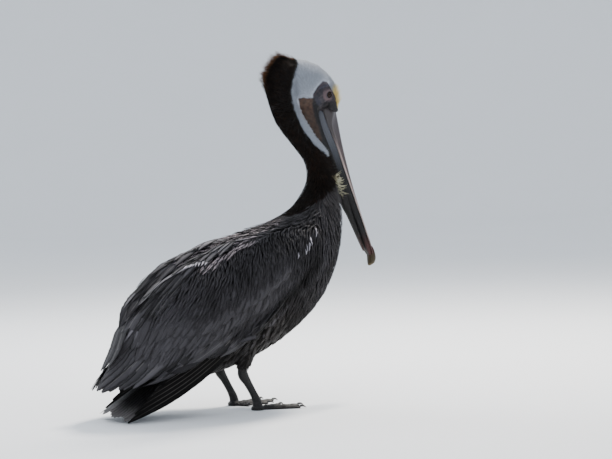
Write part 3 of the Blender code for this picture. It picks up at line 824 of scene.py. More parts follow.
def vane_rings(lines, normals, half_width, shape, camber, lift, columns, thickness=VANE_THICKNESS, roll=0.0,
               raggedness=0.0, seed=1):
    """Closed vanes round centre lines.

    lines and normals are (n, rows, 3), half_width is (n,), and lift is each row's height over the line.
    Columns run from one edge to the other; the underside has the same columns, thickness lower.
    """
    ahead = unit(np.gradient(lines, axis=1))
    side = unit(np.cross(normals, ahead))
    k = np.linspace(-1, 1, columns)
    wide = half_width[:, None] * shape[None, :]
    if raggedness:
        rng = np.random.default_rng(seed)
        wide = wide * (1 - raggedness * rng.random(wide.shape) ** 3)
    roll = np.broadcast_to(np.asarray(roll, float), (len(lines),))[:, None, None]
    out = wide[:, :, None] * k
    height = lift[:, :, None] - camber * wide[:, :, None] * k ** 2 + roll * out
    top = lines[:, :, None] + side[:, :, None] * out[..., None] + normals[:, :, None] * height[..., None]
    if columns == 3:
        below = top[:, :, 1:2] - normals[:, :, None] * (thickness + camber * wide[..., None, None])
        return np.concatenate([top, below], axis=2), np.array([0, 0.5, 1, 0.5])
    under = top[:, :, 1:-1][:, :, ::-1] - normals[:, :, None] * thickness
    across = (k + 1) / 2
    return np.concatenate([top, under], axis=2), np.concatenate([across, across[1:-1][::-1]])


# ---------------------------------------------------------------- skin

OWN_DEPTH = {"head": 0.0016, "neck_upper": 0.0024, "neck_middle": 0.0026, "neck_lower": 0.0030,
             "trunk": 0.0045, "pouch": 0.0, "thigh_R": 0.0030, "thigh_L": 0.0030, "wing_R_coverts": 0.0050,
             "wing_L_coverts": 0.0050}
HEAD_END = ("head", "neck_upper", "neck_middle")
REFINE_REACH = 0.017                 # round each eye


def owners_of(points, tree, owners):
    find = tree.find_nearest
    return np.array([owners[find(p)[2]] for p in points.tolist()])


def make_coat_surface():
    cad_points, triangles, cad_owners = cad_mesh(FLESH, SWELL)
    points, quads = largest_body(*remeshed(cad_points, triangles, VOXEL))
    points = evened(points, links_of([quads]), EVEN_ROUNDS)
    surface = Surface(points, quads)
    surface.names = FLESH
    surface.cad_tree = BVHTree.FromPolygons(cad_points.tolist(), triangles.tolist())
    surface.cad_owners = cad_owners
    surface.owner = owners_of(points, surface.cad_tree, cad_owners)
    share, off = bill_place(points)
    head = of_nodes(surface.owner, "head")
    surface.find_flow(head & (share > -0.03) & (off > -0.045), of_nodes(surface.owner, "pouch"))
    depth = np.array([OWN_DEPTH[name] for name in FLESH])[surface.owner]
    depth *= 1 - bare_skin(points) * of_nodes(surface.owner, *HEAD_END)
    for _ in range(DEPTH_ROUNDS):
        depth = averaged(depth, surface.links, len(points))
    surface.depth = depth
    surface.face_depth = depth[quads].mean(axis=1)
    surface.centres = points[quads].mean(axis=1)
    surface.face_owner = surface.owner[quads[:, 0]]
    make_unwrap(surface)
    return surface


UNWRAP_STEPS = 60


def make_unwrap(surface):
    """Lays the surface out flat: how far along the bird, and the angle round its middle line."""
    count = UNWRAP_STEPS
    surface.longest = surface.reach.max()
    step = np.minimum((surface.reach / surface.longest * count).astype(int), count - 1)
    weight = np.maximum(np.bincount(step, minlength=count), 1)
    middle = np.stack([np.bincount(step, surface.points[:, k], count) / weight for k in (0, 2)], -1)
    for _ in range(3):
        middle[1:-1] = (middle[:-2] + 2 * middle[1:-1] + middle[2:]) / 4
    surface.middle = middle
    surface.middle_way = unit(np.gradient(middle, axis=0))


def unwrap(surface, points, faces):
    count = len(surface.middle)
    reach = surface.reach[surface.quads[faces]].mean(axis=1) / surface.longest
    k = np.minimum((reach * count).astype(int), count - 1)
    rel = points[:, [0, 2]] - surface.middle[k]
    square = rel[:, 0] * -surface.middle_way[k, 1] + rel[:, 1] * surface.middle_way[k, 0]
    turn = np.arctan2(points[:, 1], square)
    return np.stack((0.5 + 0.48 * turn / pi, 0.015 + 0.97 * reach), -1)


def refine(mesh, wanted):
    """Splits the faces whose points are all wanted into four."""
    shape = bmesh.new()
    shape.from_mesh(mesh)
    chosen = [edge for edge in shape.edges if wanted[edge.verts[0].index] and wanted[edge.verts[1].index]]
    bmesh.ops.subdivide_edges(shape, edges=chosen, cuts=1, use_grid_fill=True)
    bmesh.ops.triangulate(shape, faces=[face for face in shape.faces if len(face.verts) > 4])
    shape.to_mesh(mesh)
    shape.free()


def points_of(mesh):
    return read_values(mesh.vertices, "co")


LID_PROFILE = [(0.0, 0.0028), (0.0042, 0.0032), (0.0047, 0.0050), (0.0050, 0.0066), (0.0054, 0.0071),
               (0.0060, 0.0069), (0.0067, 0.0063), (0.0074, 0.0066), (0.0083, 0.0072), (0.0094, 0.0069),
               (0.0110, 0.0064), (0.0140, 0.0055)]


def eye_axis(surface, side):
    """The middle of an eye and the way it looks."""
    middle = Vector((EYE.x, side * abs(EYE.y), EYE.z))
    face = surface.tree.find_nearest(middle + Vector((0, side * EYE_RADIUS, 0)))[2]
    return np.array(middle), unit(0.5 * surface.face_normals[face] + np.array((-0.06, side * 0.8, -0.02)))


def surface_owner(points, surface):
    """The index in FLESH of the CAD node nearest to each point."""
    return owners_of(points, surface.cad_tree, surface.cad_owners)


def of_nodes(owner, *names):
    return np.isin(owner, [FLESH.index(name) for name in names])


def shape_face(points, normals, surface):
    """Sockets, lids and folds of the bare face, the pouch's creases, and room for the bill."""
    x, y, z = points[:, 0], points[:, 1], points[:, 2]
    share, off = bill_place(points)
    near_head = smooth(z, 0.55, 0.58) * smooth(x, 0.150, 0.165)
    rise = np.zeros(len(points))
    # height, line across the face (z at x), its width, and where along x it starts
    for high, (line_z, lean, line_x), width, starts in (
            (-0.0011, (0.600, 0.9, 0.185), 0.0022, (0.178, 0.190)),
            (0.0012, (0.655, 0.35, 0.205), 0.0045, (0.180, 0.200)),
            (-0.0007, (0.617, 0.15, 0.205), 0.0018, (0.190, 0.200))):
        rise += high * bump(z - (line_z + lean * (x - line_x)), 0, width) * smooth(x, *starts) * near_head
    rise += 0.00035 * (bare_skin(points) * near_head) * ripple(points, 0.0045, 21)
    pouch = smooth(-off, 0.016, 0.024) * smooth(share, -0.10, 0.02) * (1 - smooth(z - 0.628, 0, 0.01))
    pouch = pouch * (np.abs(y) < 0.024) * smooth(0.070 + off, 0, 0.006)
    waves = np.sin(tau * (off + 0.0016 * ripple(points, 0.030, 23)) / 0.0052 + 2.2 * ripple(points, 0.06, 29))
    creases = 0.00055 * pouch * waves * (0.6 + 0.4 * ripple(points, 0.02, 31))
    rise += creases * (surface_owner(points, surface) == FLESH.index("pouch"))
    points = points + normals * rise[:, None]

    deep, wide = table_at(LOWER, share).T
    below = mix(-off + bill_shift(share) - deep, -off - bill_shift(share) - 0.024, smooth(share, 0.20, 0.40))
    room = 0.80 * wide + 0.03 * smooth(below, -0.002, 0.009)
    tight = smooth(share, -0.035, -0.005) * (off < 0)
    narrow = np.sign(y) * np.minimum(np.abs(y), room)
    points[:, 1] = mix(points[:, 1], narrow, tight)
    over = np.maximum(off - 0.0215, 0) * 0.75 * smooth(share, -0.075, -0.02)
    points[:, 0] -= over * cos(BILL_LEAN)
    points[:, 2] -= over * sin(BILL_LEAN)

    for side in SIDES.values():
        middle, axis = eye_axis(surface, side)
        rel = points - middle
        height = rel @ axis
        flat = rel - height[:, None] * axis
        fore = flat @ unit(np.array((0.92, 0, -0.38)))
        tall = flat @ unit(np.array((0.38, 0, 0.92)))
        radius = np.sqrt((fore / 1.18) ** 2 + (tall / 0.92) ** 2)
        wanted = np.interp(radius, *np.array(LID_PROFILE).T)
        hold = (1 - smooth(radius, 0.0088, 0.0130)) * (height > -0.001)
        points = points + axis * ((wanted - height) * hold)[:, None]
    return points


def skin_colours(points, owner):
    """The skin's markings, and how much of each place is bare."""
    collar = 1 - inside(BREAST_LINE, points[:, 0], points[:, 2], 0.012)
    colour = paint(body_colour(points), head_colour(points),
                   of_nodes(owner, *HEAD_END, "neck_lower", "trunk") * collar)
    bare = bare_skin(points) * of_nodes(owner, *HEAD_END)
    pouch = of_nodes(owner, "pouch")
    colour = paint(colour, face_colour(points), bare)
    colour = paint(colour, pouch_colour(points), pouch)
    bare = np.maximum(bare, pouch)
    return paint(colour, cheek_colour(points, colour), bare), bare


def make_skin(surface):
    obj, _ = mesh_object("skin", surface.points - surface.normals * surface.depth[:, None], [surface.quads])
    mesh = obj.data
    for level in (1, 2):
        points = points_of(mesh)
        x, y, z = points.T
        from_eye = np.stack((x - EYE.x, np.abs(y) - abs(EYE.y), z - EYE.z), -1)
        wanted = np.linalg.norm(from_eye, axis=1) < REFINE_REACH
        if level == 1:
            wanted |= (bare_skin(points) > 0.05) & (z > 0.5)
            wanted |= surface_owner(points, surface) == FLESH.index("pouch")
        refine(mesh, wanted)
    points = shape_face(points_of(mesh), read_values(mesh.vertex_normals, "vector"), surface)
    mesh.vertices.foreach_set("co", points.astype(np.float32).ravel())
    mesh.update()
    return obj, points, surface_owner(points, surface)


# ---------------------------------------------------------------- legs and feet

HIP_SPREAD = 0.045
STRIDE = {"R": 0.0, "L": -0.006}
TOE_JOINT = (0.01547, 0.0150)
SHANK = [(-0.0140, 0.1000, 0.0088, 0.0088, 0.0076), (-0.01753, 0.0830, 0.0098, 0.0098, 0.0080),
         (-0.01603, 0.0715, 0.0110, 0.0100, 0.0090), (-0.00603, 0.0560, 0.0080, 0.0085, 0.0064),
         (0.00497, 0.0360, 0.0074, 0.0077, 0.0058), (0.01247, 0.0200, 0.0086, 0.0086, 0.0070),
         (0.01547, 0.0080, 0.0095, 0.0095, 0.0085)]
TOES = (("outer", 0.086, radians(24)), ("middle", 0.092, radians(2)), ("inner", 0.070, radians(-22)),
        ("hind", 0.035, radians(-62)))
WEB_THICKNESS = 0.0013
WEB_NOTCH = 0.12
TOE_WIDTH = 0.0050
TOE_HEIGHT = 0.0066
HEEL_RADIUS = 0.0135
SHANK_ROWS, SHANK_SIDES = 120, 54
SHANK_PLATE = 0.0026                 # one plate's length on the shank, and how far it stands out
SHANK_RELIEF = 0.00035
CLAW_LENGTH = 0.012
CLAW_SUNK = 0.0015
SCUTE = 0.0032                       # one plate's length on a toe


def foot_root(letter):
    return np.array((TOE_JOINT[0] + STRIDE[letter], SIDES[letter] * HIP_SPREAD, 0))


def rim_radius(heading):
    """How far the foot's edge lies from the toes' joint, at a heading."""
    reach = np.full(heading.shape, HEEL_RADIUS)
    for _, length, toe_heading in TOES:
        turn = np.abs(heading - toe_heading)
        toe = np.minimum(length, TOE_WIDTH / np.maximum(np.sin(turn), 0.001))
        reach = np.where(turn < pi / 2, np.maximum(reach, toe), reach)
    for (_, left_length, left), (_, right_length, right) in zip(TOES, TOES[1:]):
        share = np.clip((left - heading) / (left - right), 0, 1)
        web = right_length + (left_length - right_length) * (1 - share) ** 2
        web = web * (1 - WEB_NOTCH * np.sin(pi * share)) * 0.98
        reach = np.where((heading >= right) & (heading <= left), np.maximum(reach, web), reach)
    return reach


def foot_height(reach, heading):
    """Height of the foot's upper side, with its toe joints, plates and the web's creases."""
    rise = 0.0148 * np.exp(-(reach / 0.0120) ** 2)
    toes = np.zeros_like(reach)
    for _, length, toe_heading in TOES:
        turn = np.abs(heading - toe_heading)
        beside = reach * np.sin(np.minimum(turn, pi / 2)) / TOE_WIDTH
        run = reach * np.cos(turn) / length
        joints = sum(bump(run, place, 0.055) for place in (0.36, 0.64, 0.86))
        ridge = np.exp(-(beside / (0.84 + 0.12 * joints)) ** 2) * (1 - 0.42 * run) * (1 + 0.16 * joints)
        plates = 0.5 - 0.5 * np.cos(tau * reach / SCUTE)
        ridge = ridge + 0.05 * (1 - plates) * -1 * (ridge > 0.35) * (run > 0.12)
        toes = np.maximum(toes, np.where(turn < pi / 2, ridge, 0))
    web = np.clip(1 - toes * 2.2, 0, 1) * smooth(reach, 0.015, 0.03)
    creases = 0.00028 * web * (np.sin(heading * 46 + 1.5 * np.sin(reach * 160))
                               + 0.7 * np.sin(reach * 900 + 3 * np.sin(heading * 9)))
    return WEB_THICKNESS + np.maximum(rise, TOE_HEIGHT * toes) + creases + 0.0003 * web


def foot_surface(letter):
    """Points and faces of one foot, with a flat sole."""
    side = SIDES[letter]
    fine = np.concatenate([toe + np.radians(np.arange(-14, 14.1, 0.7)) for _, _, toe in TOES])
    headings = np.unique(np.round(np.concatenate([fine, np.radians(np.arange(-120, 240, 5.0))]), 4))
    headings = headings[np.concatenate([[True], np.diff(headings) > 0.006])]
    headings = headings[headings < headings[0] + tau - 0.006]
    rim = rim_radius(headings)
    shares = np.linspace(0.06, 1, 58)
    rings = []
    for share in shares:
        reach = share * rim
        lip = np.sqrt(np.clip(1 - ((share - 0.975) / 0.03) ** 2, 0.1, 1)) if share > 0.975 else 1.0
        rings.append(np.stack((reach * np.cos(headings), side * reach * np.sin(headings),
                               foot_height(reach, headings) * lip), -1))
    rings.append(rings[-1] * (1, 1, 0))
    rings.append(rings[-1] * (0.3, 0.3, 0))
    rings = np.array(rings) + foot_root(letter)
    points = rings.reshape(-1, 3)
    return points, outward(points, loft_faces(len(rings), len(headings)))


def shank_surface(letter):
    """Points and faces of one shank, covered in small plates."""
    side = SIDES[letter]
    rows, sides = SHANK_ROWS, SHANK_SIDES
    table = table_at([(k, *row) for k, row in enumerate(SHANK)], np.linspace(0, len(SHANK) - 1, rows))
    table[:, 0] += STRIDE[letter]
    ahead = unit(np.gradient(table[:, :2], axis=0))
    run = np.concatenate([[0], np.cumsum(np.linalg.norm(np.diff(table[:, :2], axis=0), axis=1))])
    turn = tau * np.arange(sides) / sides
    left = np.stack((-ahead[:, 1], np.zeros(rows), ahead[:, 0]), -1)
    fore = np.where(np.sin(turn)[None] > 0, table[:, 2:3], table[:, 3:4]) * np.sin(turn)
    wide = table[:, 4:5] * np.cos(turn)
    flat = left[:, None] * fore[..., None] + ACROSS * wide[..., None]
    line = run[:, None] / SHANK_PLATE
    plate = np.cos(tau * (turn[None] / tau * 15 + 0.5 * np.floor(line)))
    cell = (0.5 - 0.5 * np.cos(tau * (line % 1.0))) ** 0.5 * (0.55 + 0.45 * plate)
    middle = np.stack((table[:, 0], np.full(rows, side * HIP_SPREAD), table[:, 1]), -1)
    rings = middle[:, None] + flat + unit(flat) * (SHANK_RELIEF * cell[..., None])
    points = rings.reshape(-1, 3)
    return points, outward(points, loft_faces(rows, sides))


def join_blocks(pieces):
    """(points, faces) of several pieces as one."""
    points, blocks, count = [], [], 0
    for own, faces in pieces:
        points.append(own)
        blocks += [block + count for block in faces]
        count += len(own)
    return np.concatenate(points), blocks


def add_legs(skin):
    """Joins shanks and feet to the skin's mesh and returns the number of its own points and faces."""
    pieces = [shape(letter) for letter in SIDES for shape in (shank_surface, foot_surface)]
    points, blocks = join_blocks(pieces)
    legs, _ = mesh_object("legs", points, blocks, None)
    own_points, own_faces = len(skin.data.vertices), len(skin.data.polygons)
    bpy.context.view_layer.objects.active = skin
    for obj in bpy.context.selected_objects:
        obj.select_set(False)
    legs.select_set(True)
    skin.select_set(True)
    bpy.ops.object.join()
    return own_points, own_faces


def finish_skin(surface):
    skin, points, owner = make_skin(surface)
    colours, bare = skin_colours(points, owner)
    own_points, own_faces = add_legs(skin)
    mesh = skin.data
    legs = points_of(mesh)[own_points:]
    shade = 0.85 + 0.3 * smooth(ripple(legs, 0.02, 41), -1, 1)
    leg_colours = np.array(LEG) * shade[:, None]
    web = smooth(legs[:, 0], 0.04, 0.09) * smooth(0.006 - legs[:, 2], 0, 0.004)
    leg_colours = paint(leg_colours, np.array(LEG) * 0.72, web)
    give_colour(skin, "tint", np.concatenate([colours, leg_colours]))
    for looks in (("coat_skin", 0.0030, 0.75, 0.00020, 0.3), ("face_skin", 0.0010, 0.56, 0.00010, 0.14, 0.05),
                  ("leg_skin", 0.0022, 0.52, 0.00030, 0.45, 0.04)):
        mesh.materials.append(skin_material(*looks))
    index = np.full(len(mesh.polygons), 2, np.int32)
    first = np.array([face.vertices[0] for face in mesh.polygons[:own_faces]])
    index[:own_faces] = bare[first] > 0.5
    mesh.polygons.foreach_set("material_index", index)
    mesh.shade_smooth()
    settle(skin, "body_plumage", *FLESH, "shank_R", "shank_L", "foot_R", "foot_L")


def make_claws():
    """One curved claw on each toe."""
    n = Nodes("claw_horn")
    _, run, _ = n.uv("run")
    grain = n.noise(n.place(), 420.0)
    pale = n.ramp(n.math("ADD", run, n.math("MULTIPLY_ADD", grain, 0.5, -0.25)), 0.2, 1.0)
    colour = n.mix((0.018, 0.017, 0.018), (0.085, 0.072, 0.066), pale)
    n.bumps((grain, 0.00015))
    horn = n.finish(colour, n.ramp(grain, 0.3, 0.7, 0.22, 0.4), 0.5, 0, 0.2)
    share = np.linspace(0, 1, 14)
    turn = tau * np.arange(16) / 16
    radius = 0.0031 * np.sqrt(1 - 0.97 * share ** 1.3) + 0.00015
    height = 0.0032 + 0.0016 * np.sin(pi * np.minimum(share * 0.9, 1)) - 0.0027 * share ** 2.2
    height = np.maximum(height, radius * 1.02 + 0.0001)
    for letter, side in SIDES.items():
        for toe, length, heading in TOES:
            ahead = np.array((cos(heading), side * sin(heading), 0))
            beside = np.array((-ahead[1], ahead[0], 0))
            tip = foot_root(letter) + ahead * (length - CLAW_SUNK)
            middle = tip + ahead * (share * (CLAW_LENGTH + CLAW_SUNK))[:, None] + UP * height[:, None]
            wide = radius[:, None] * 0.72 * np.cos(turn)
            tall = radius[:, None] * np.sin(turn) * (1 - 0.35 * (np.sin(turn) < 0))
            rings = middle[:, None] + beside * wide[..., None] + UP * tall[..., None]
            name = f"claw_{letter}_{toe}"
            settle(loft(f"horn_{name}", rings, horn, share, turn / tau), "claw_horn", name)


# ---------------------------------------------------------------- bill

UPPER = [(0.0, 0.0236, 0.0158), (0.10, 0.0200, 0.0148), (0.25, 0.0138, 0.0136), (0.45, 0.010, 0.0132),
         (0.65, 0.0092, 0.0138), (0.82, 0.009, 0.0145), (0.93, 0.0085, 0.0130), (0.975, 0.006, 0.0095)]
LOWER = [(0.0, 0.0135, 0.0156), (0.06, 0.0158, 0.0151), (0.13, 0.0176, 0.0145), (0.25, 0.0180, 0.0135),
         (0.45, 0.0165, 0.0130), (0.65, 0.013, 0.0131), (0.82, 0.010, 0.0134), (0.93, 0.0072, 0.0114),
         (0.975, 0.0035, 0.0074)]
NAIL = [(0.915, 0.0012, 0.0080, 0.0104), (0.93, 0.0005, 0.0096, 0.0110), (0.95, -0.0018, 0.0106, 0.0113),
        (0.965, -0.0046, 0.0110, 0.0111), (0.985, -0.0068, 0.0110, 0.0104), (1.003, -0.0088, 0.0096, 0.0092),
        (1.016, -0.0102, 0.0072, 0.0078), (1.026, -0.0106, 0.0036, 0.0058), (1.031, -0.0096, -0.0012, 0.0030)]


def gape_drop(share):
    """How far the two halves of the bill meet below the line that joins the gape to the tip."""
    return 0.0072 * (1 - smooth(share, 0.12, 0.75)) + 0.0068 * (1 - smooth(share, 0.02, 0.28))


def bill_shift(share):
    return -gape_drop(share) + 0.0026 * smooth(share, 0.60, 0.95)


BILL_ROWS = 140


def bill_material(name):
    """Horn whose colours change along the bill: run is (share of its length, place round it)."""
    n = Nodes(name)
    run, along, around = n.uv("run")
    streaks = n.noise(n.stretch(run, (5.0, 34.0, 1.0)), 1.0, 5.0, 0.6)
    blotch = n.noise(n.place(), 75.0, 4.0)
    fine = n.noise(n.stretch(run, (40.0, 160.0, 1.0)), 1.0, 3.0)
    return n, along, around, streaks, blotch, fine


def from_ridge_of(n, around):
    return n.math("ABSOLUTE", n.math("SUBTRACT", around, 0.5))


def upper_horn():
    n, along, around, streaks, blotch, fine = bill_material("upper_horn")
    from_ridge = from_ridge_of(n, around)
    wavy = n.math("ADD", along, n.math("MULTIPLY_ADD", streaks, 0.16, -0.08))
    seam = n.times(n.ramp(from_ridge, 0.33, 0.41), n.ramp(wavy, 0.42, 0.18), 0.85)
    # edge: a pale pinkish line along the upper mandible's rim, partly its own paler horn and partly a painted
    # highlight
    edge = n.times(n.ramp(from_ridge, 0.385, 0.43), n.ramp(wavy, 0.12, 0.42, 0.05, 1.0),
                   n.ramp(wavy, 0.94, 0.80), 0.9)
    colour = n.layers((0.064, 0.056, 0.062),
                      ((0.046, 0.028, 0.029), n.ramp(wavy, 0.08, 0.30)),
                      ((0.056, 0.034, 0.034), n.ramp(wavy, 0.35, 0.60)),
                      ((0.050, 0.0145, 0.0145), n.ramp(wavy, 0.80, 0.93)),
                      ((0.075, 0.068, 0.074), n.times(n.ramp(from_ridge, 0.13, 0.05), 0.55)),
                      ((0.011, 0.010, 0.012), seam), ((0.40, 0.31, 0.29), edge),
                      ((0.016, 0.012, 0.012), n.times(n.ramp(streaks, 0.42, 0.72), 0.5)),
                      ((0.15, 0.125, 0.125), n.ramp(blotch, 0.58, 0.85, 0.0, 0.25)))
    n.bumps((streaks, 0.0005), (fine, 0.00018), (blotch, 0.0003))
    return n.finish(colour, n.ramp(fine, 0.3, 0.7, 0.36, 0.54), 0.32, 0, 0.05, 0.35)


def lower_horn():
    n, along, around, streaks, blotch, fine = bill_material("lower_horn")
    from_ridge = from_ridge_of(n, around)
    wavy = n.math("ADD", along, n.math("MULTIPLY_ADD", streaks, 0.12, -0.06))
    keel = n.times(n.ramp(from_ridge, 0.24, 0.12), 0.85, n.ramp(along, 0.12, 0.30))
    colour = n.layers((0.064, 0.067, 0.080),
                      ((0.032, 0.035, 0.043), n.ramp(wavy, 0.14, 0.32)),
                      ((0.0080, 0.0074, 0.0078), n.ramp(wavy, 0.28, 0.44)),
                      ((0.040, 0.013, 0.012), n.ramp(wavy, 0.80, 0.92)), ((0.0070, 0.0066, 0.0068), keel),
                      ((0.018, 0.017, 0.020), n.ramp(streaks, 0.50, 0.80, 0.0, 0.45)),
                      ((0.12, 0.125, 0.14), n.ramp(blotch, 0.60, 0.88, 0.0, 0.18)))
    n.bumps((streaks, 0.0005), (fine, 0.00018), (blotch, 0.0003))
    return n.finish(colour, n.ramp(fine, 0.3, 0.7, 0.42, 0.60), 0.20, 0, 0.02, 0.35)


def nail_horn():
    n, along, _, streaks, _, fine = bill_material("nail_horn")
    colour = n.layers((0.030, 0.011, 0.009), ((0.034, 0.024, 0.011), n.ramp(along, 0.940, 0.985)),
                      ((0.090, 0.070, 0.036), n.ramp(along, 1.006, 1.030)),
                      ((0.030, 0.021, 0.014), n.ramp(streaks, 0.45, 0.75, 0.0, 0.55)))
    n.bumps((streaks, 0.0004), (fine, 0.00015))
    return n.finish(colour, n.ramp(fine, 0.3, 0.7, 0.40, 0.56), 0.18, 0, 0.03, 0.3)


def bent(value, power):
    return np.sign(value) * np.abs(value) ** power


def bill_shares(start, rounded, end):
    """Rows along a half of the bill, closer together on its rounded base."""
    return np.concatenate([np.linspace(start, rounded, 16)[:-1], np.linspace(rounded, end, BILL_ROWS - 15)])


def make_upper_bill():
    share = bill_shares(-0.012, 0.020, 0.968)
    nose = arch(np.maximum(0.020 - share, 0) / 0.0325)[:, None]
    high, wide = table_at(UPPER, share).T
    x = np.sin(np.linspace(-pi / 2, pi / 2, 45))
    out = np.abs(x)
    ridge = 0.46 * arch(x) + 0.50 * np.exp(-(out / 0.27) ** 2.4)
    for amount, place, width in ((-0.055, 0.52, 0.07), (-0.04, 0.76, 0.05), (0.07, 0.95, 0.05)):
        ridge = ridge + amount * bump(out, place, width)
    swell = mix(0.30 + 0.66 * arch(x) - 0.02 * bump(out, 0.6, 0.1), ridge, smooth(share, 0.0, 0.14)[:, None])
    shift = bill_shift(share)[:, None]
    high = high + 0.0010 + gape_drop(share) + 0.0012 * (1 - smooth(share, 0.12, 0.75))
    off = 0.0006 + (high[:, None] * swell) * (0.35 + 0.65 * nose) + shift
    top = bill_point(share[:, None], off, wide[:, None] * x * (0.6 + 0.4 * nose))
    under_x = x[1:-1][::-1]
    under = bill_point(share[:, None], shift + 0.0004 + 0.0012 * (1 - under_x ** 6),
                       wide[:, None] * under_x * 0.985 * (0.6 + 0.4 * nose))
    around = np.concatenate([(x + 1) / 2, np.where(under_x > 0, 0.99, 0.01)])
    rings = np.concatenate([top, under], axis=1)
    settle(loft("upper_bill", rings, upper_horn(), share, around), "bill_horn", "upper_mandible")


def make_lower_bill():
    share = bill_shares(-0.006, 0.024, 0.965)
    nose = arch(np.maximum(0.024 - share, 0) / 0.0302)[:, None]
    deep, wide = table_at(LOWER, share).T
    turn = np.linspace(0, pi, 41)
    across = bent(np.cos(turn), 0.62)
    down = np.sin(turn) ** 0.75
    groove = 1 - 0.05 * bump(down, 0.50, 0.10) * (np.abs(across) > 0.3) - 0.03 * bump(down, 0.80, 0.06)
    shift = bill_shift(share)[:, None]
    sink = deep[:, None] * (0.5 - 0.5 * nose)
    side = bill_point(share[:, None], shift - 0.0006 - sink - deep[:, None] * down * nose,
                      wide[:, None] * across * groove * (0.75 + 0.25 * nose))
    top_x = np.linspace(-1, 1, 21)[1:-1]
    top = bill_point(share[:, None], shift - 0.0004 - sink - 0.0010 * (1 - top_x ** 6),
                     wide[:, None] * top_x * 0.97 * (0.75 + 0.25 * nose))
    around = np.concatenate([turn / pi, np.where(top_x < 0, 0.99, 0.01)])
    rings = np.concatenate([side, top], axis=1)
    settle(loft("lower_bill", rings, lower_horn(), share, around), "bill_horn", "lower_mandible")


def make_nail():
    share = np.linspace(0.915, 1.031, 46)
    low, high, wide = table_at(NAIL, share).T
    turn = tau * np.arange(36) / 36
    middle, half = (low + high) / 2 + bill_shift(share), (high - low) / 2
    keel = 1 + 0.07 * bump(np.abs(turn - pi / 2), 0, 0.35)
    rings = bill_point(share[:, None], middle[:, None] + half[:, None] * np.sin(turn) * keel,
                       wide[:, None] * bent(np.cos(turn), 0.85))
    settle(loft("hooked_nail", rings, nail_horn(), share, turn / tau), "bill_nail", "bill_nail")


# ---------------------------------------------------------------- eyes

def eye_glass():
    n = Nodes("eye")
    _, ring, turn = n.uv("run")
    threads = n.noise(n.combine(n.times(turn, 60.0), n.times(ring, 9.0)), 1.0, 3.0)
    iris = n.mix((0.010, 0.005, 0.004), (0.034, 0.016, 0.010), threads)
    colour = n.layers((0.002, 0.002, 0.002), (iris, n.ramp(ring, 0.088, 0.098)),
                      ((0.012, 0.009, 0.008), n.ramp(ring, 0.17, 0.20)))
    n.bumps((threads, 0.00006))
    return n.finish(colour, 0.06, 0.10, 0, 0.03, 0.02)


def make_eyes(surface):
    glass = eye_glass()
    polar = np.linspace(0.001, pi - 0.001, 44)
    radius = EYE_RADIUS * (0.985 + 0.055 * bump(polar, 0, 0.42))
    around = tau * np.arange(40) / 40
    for letter, side in SIDES.items():
        middle, axis = eye_axis(surface, side)
        fore = unit(np.cross(axis, UP))
        above = np.cross(fore, axis)
        spoke = fore * np.cos(around)[:, None] + above * np.sin(around)[:, None]
        flat = (radius * np.sin(polar))[:, None, None] * spoke
        rings = middle + axis * (radius * np.cos(polar))[:, None, None] + flat
        settle(loft(f"eyeball_{letter}", rings, glass, polar / pi, around / tau), "eye", f"eye_{letter}")


# ---------------------------------------------------------------- feathers of head, neck and trunk

def read(value, spots):
    return value(spots) if callable(value) else np.full(len(spots), float(value))


def grow(coats, surface, wanted, spacing, seed, length, width, tint, rim, kind="lance", rows=5, columns=3,
         stand=0.0006, sway=0.10, camber=0.25, heading=None, vary=0.12, lower=0.0, ragged=0.2):
    """Scatters one tract of small feathers; each coat takes the feathers whose roots pass its test."""
    spots, faces = surface.scatter(wanted, spacing, seed)
    rng = np.random.default_rng(seed + 1)
    count = len(spots)
    lengths = read(length, spots) * rng.uniform(0.82, 1.18, count)
    widths = read(width, spots) * rng.uniform(0.88, 1.12, count)
    normals = surface.face_normals[faces]
    way = surface.face_flow[faces] if heading is None else heading(spots, normals)
    way = unit(way + np.cross(normals, way) * rng.normal(0, sway, count)[:, None])
    v = vane_rows(rows)
    lines, line_normals = surface.follow(spots, way, lengths, v)
    rise = read(stand, spots) * rng.uniform(0.5, 1.6, count)
    sunk = surface.face_depth[faces] + ROOT_DEPTH
    lift = -sunk[:, None] * (1 - smooth(v, 0, 0.8)) + rise[:, None] * v ** 2 - lower
    rings, across = vane_rings(lines, line_normals, widths / 2, outline(kind, v), camber, lift, columns,
                               SMALL_THICKNESS, rng.normal(0, 0.14, count), ragged, seed + 2)
    shade = np.clip(rng.normal(1, vary, count), 0.5, 1.6)[:, None]
    marks = lines[:, rows // 2]
    tints, rims = tint(marks) * shade, rim(marks) * shade
    place = unwrap(surface, spots, faces)
    for coat, test in coats:
        own = test(spots)
        coat.add(rings[own], across, v, place[own], tints[own], rims[own])


def everywhere(spots):
    return np.ones(len(spots), bool)


def owned(surface, *names):
    return np.isin(surface.face_owner, [surface.names.index(name) for name in names])


def darker(colour, share):
    return lambda spots: colour(spots) * share


def plain(colour):
    return lambda spots: np.tile(np.asarray(colour, float), (len(spots), 1))


def neck_tint(spots):
    rng = np.random.default_rng(5)
    base = head_colour(spots)
    warm = rng.random(len(spots)) ** 3 * (base.mean(axis=1) < 0.1)
    return paint(base, CHESTNUT, warm * 0.08)


# The shadowed dark feathers along the wing's lower edge, as (s, d).
UNDER_WING = [(0.34, -0.012), (0.31, -0.036), (0.282, -0.044), (0.248, -0.043), (0.215, -0.041),
              (0.180, -0.040), (0.145, -0.041), (0.120, -0.050), (0.096, -0.053), (0.073, -0.061),
              (0.046, -0.068)]


def wing_edge(spots):
    """(s, height over the wing's lower edge, whether this is the body's side) of places."""
    s, d = back_place(spots)
    key, line = np.array(UNDER_WING)[::-1].T
    return s, d - np.interp(s, key, line), np.abs(spots[:, 1]) > 0.045


def under_wing(spots):
    s, above, beside = wing_edge(spots)
    return 0.95 * (bump(above, 0, 0.013) * beside * smooth(s, 0.02, 0.06) * smooth(0.345 - s, 0, 0.04))


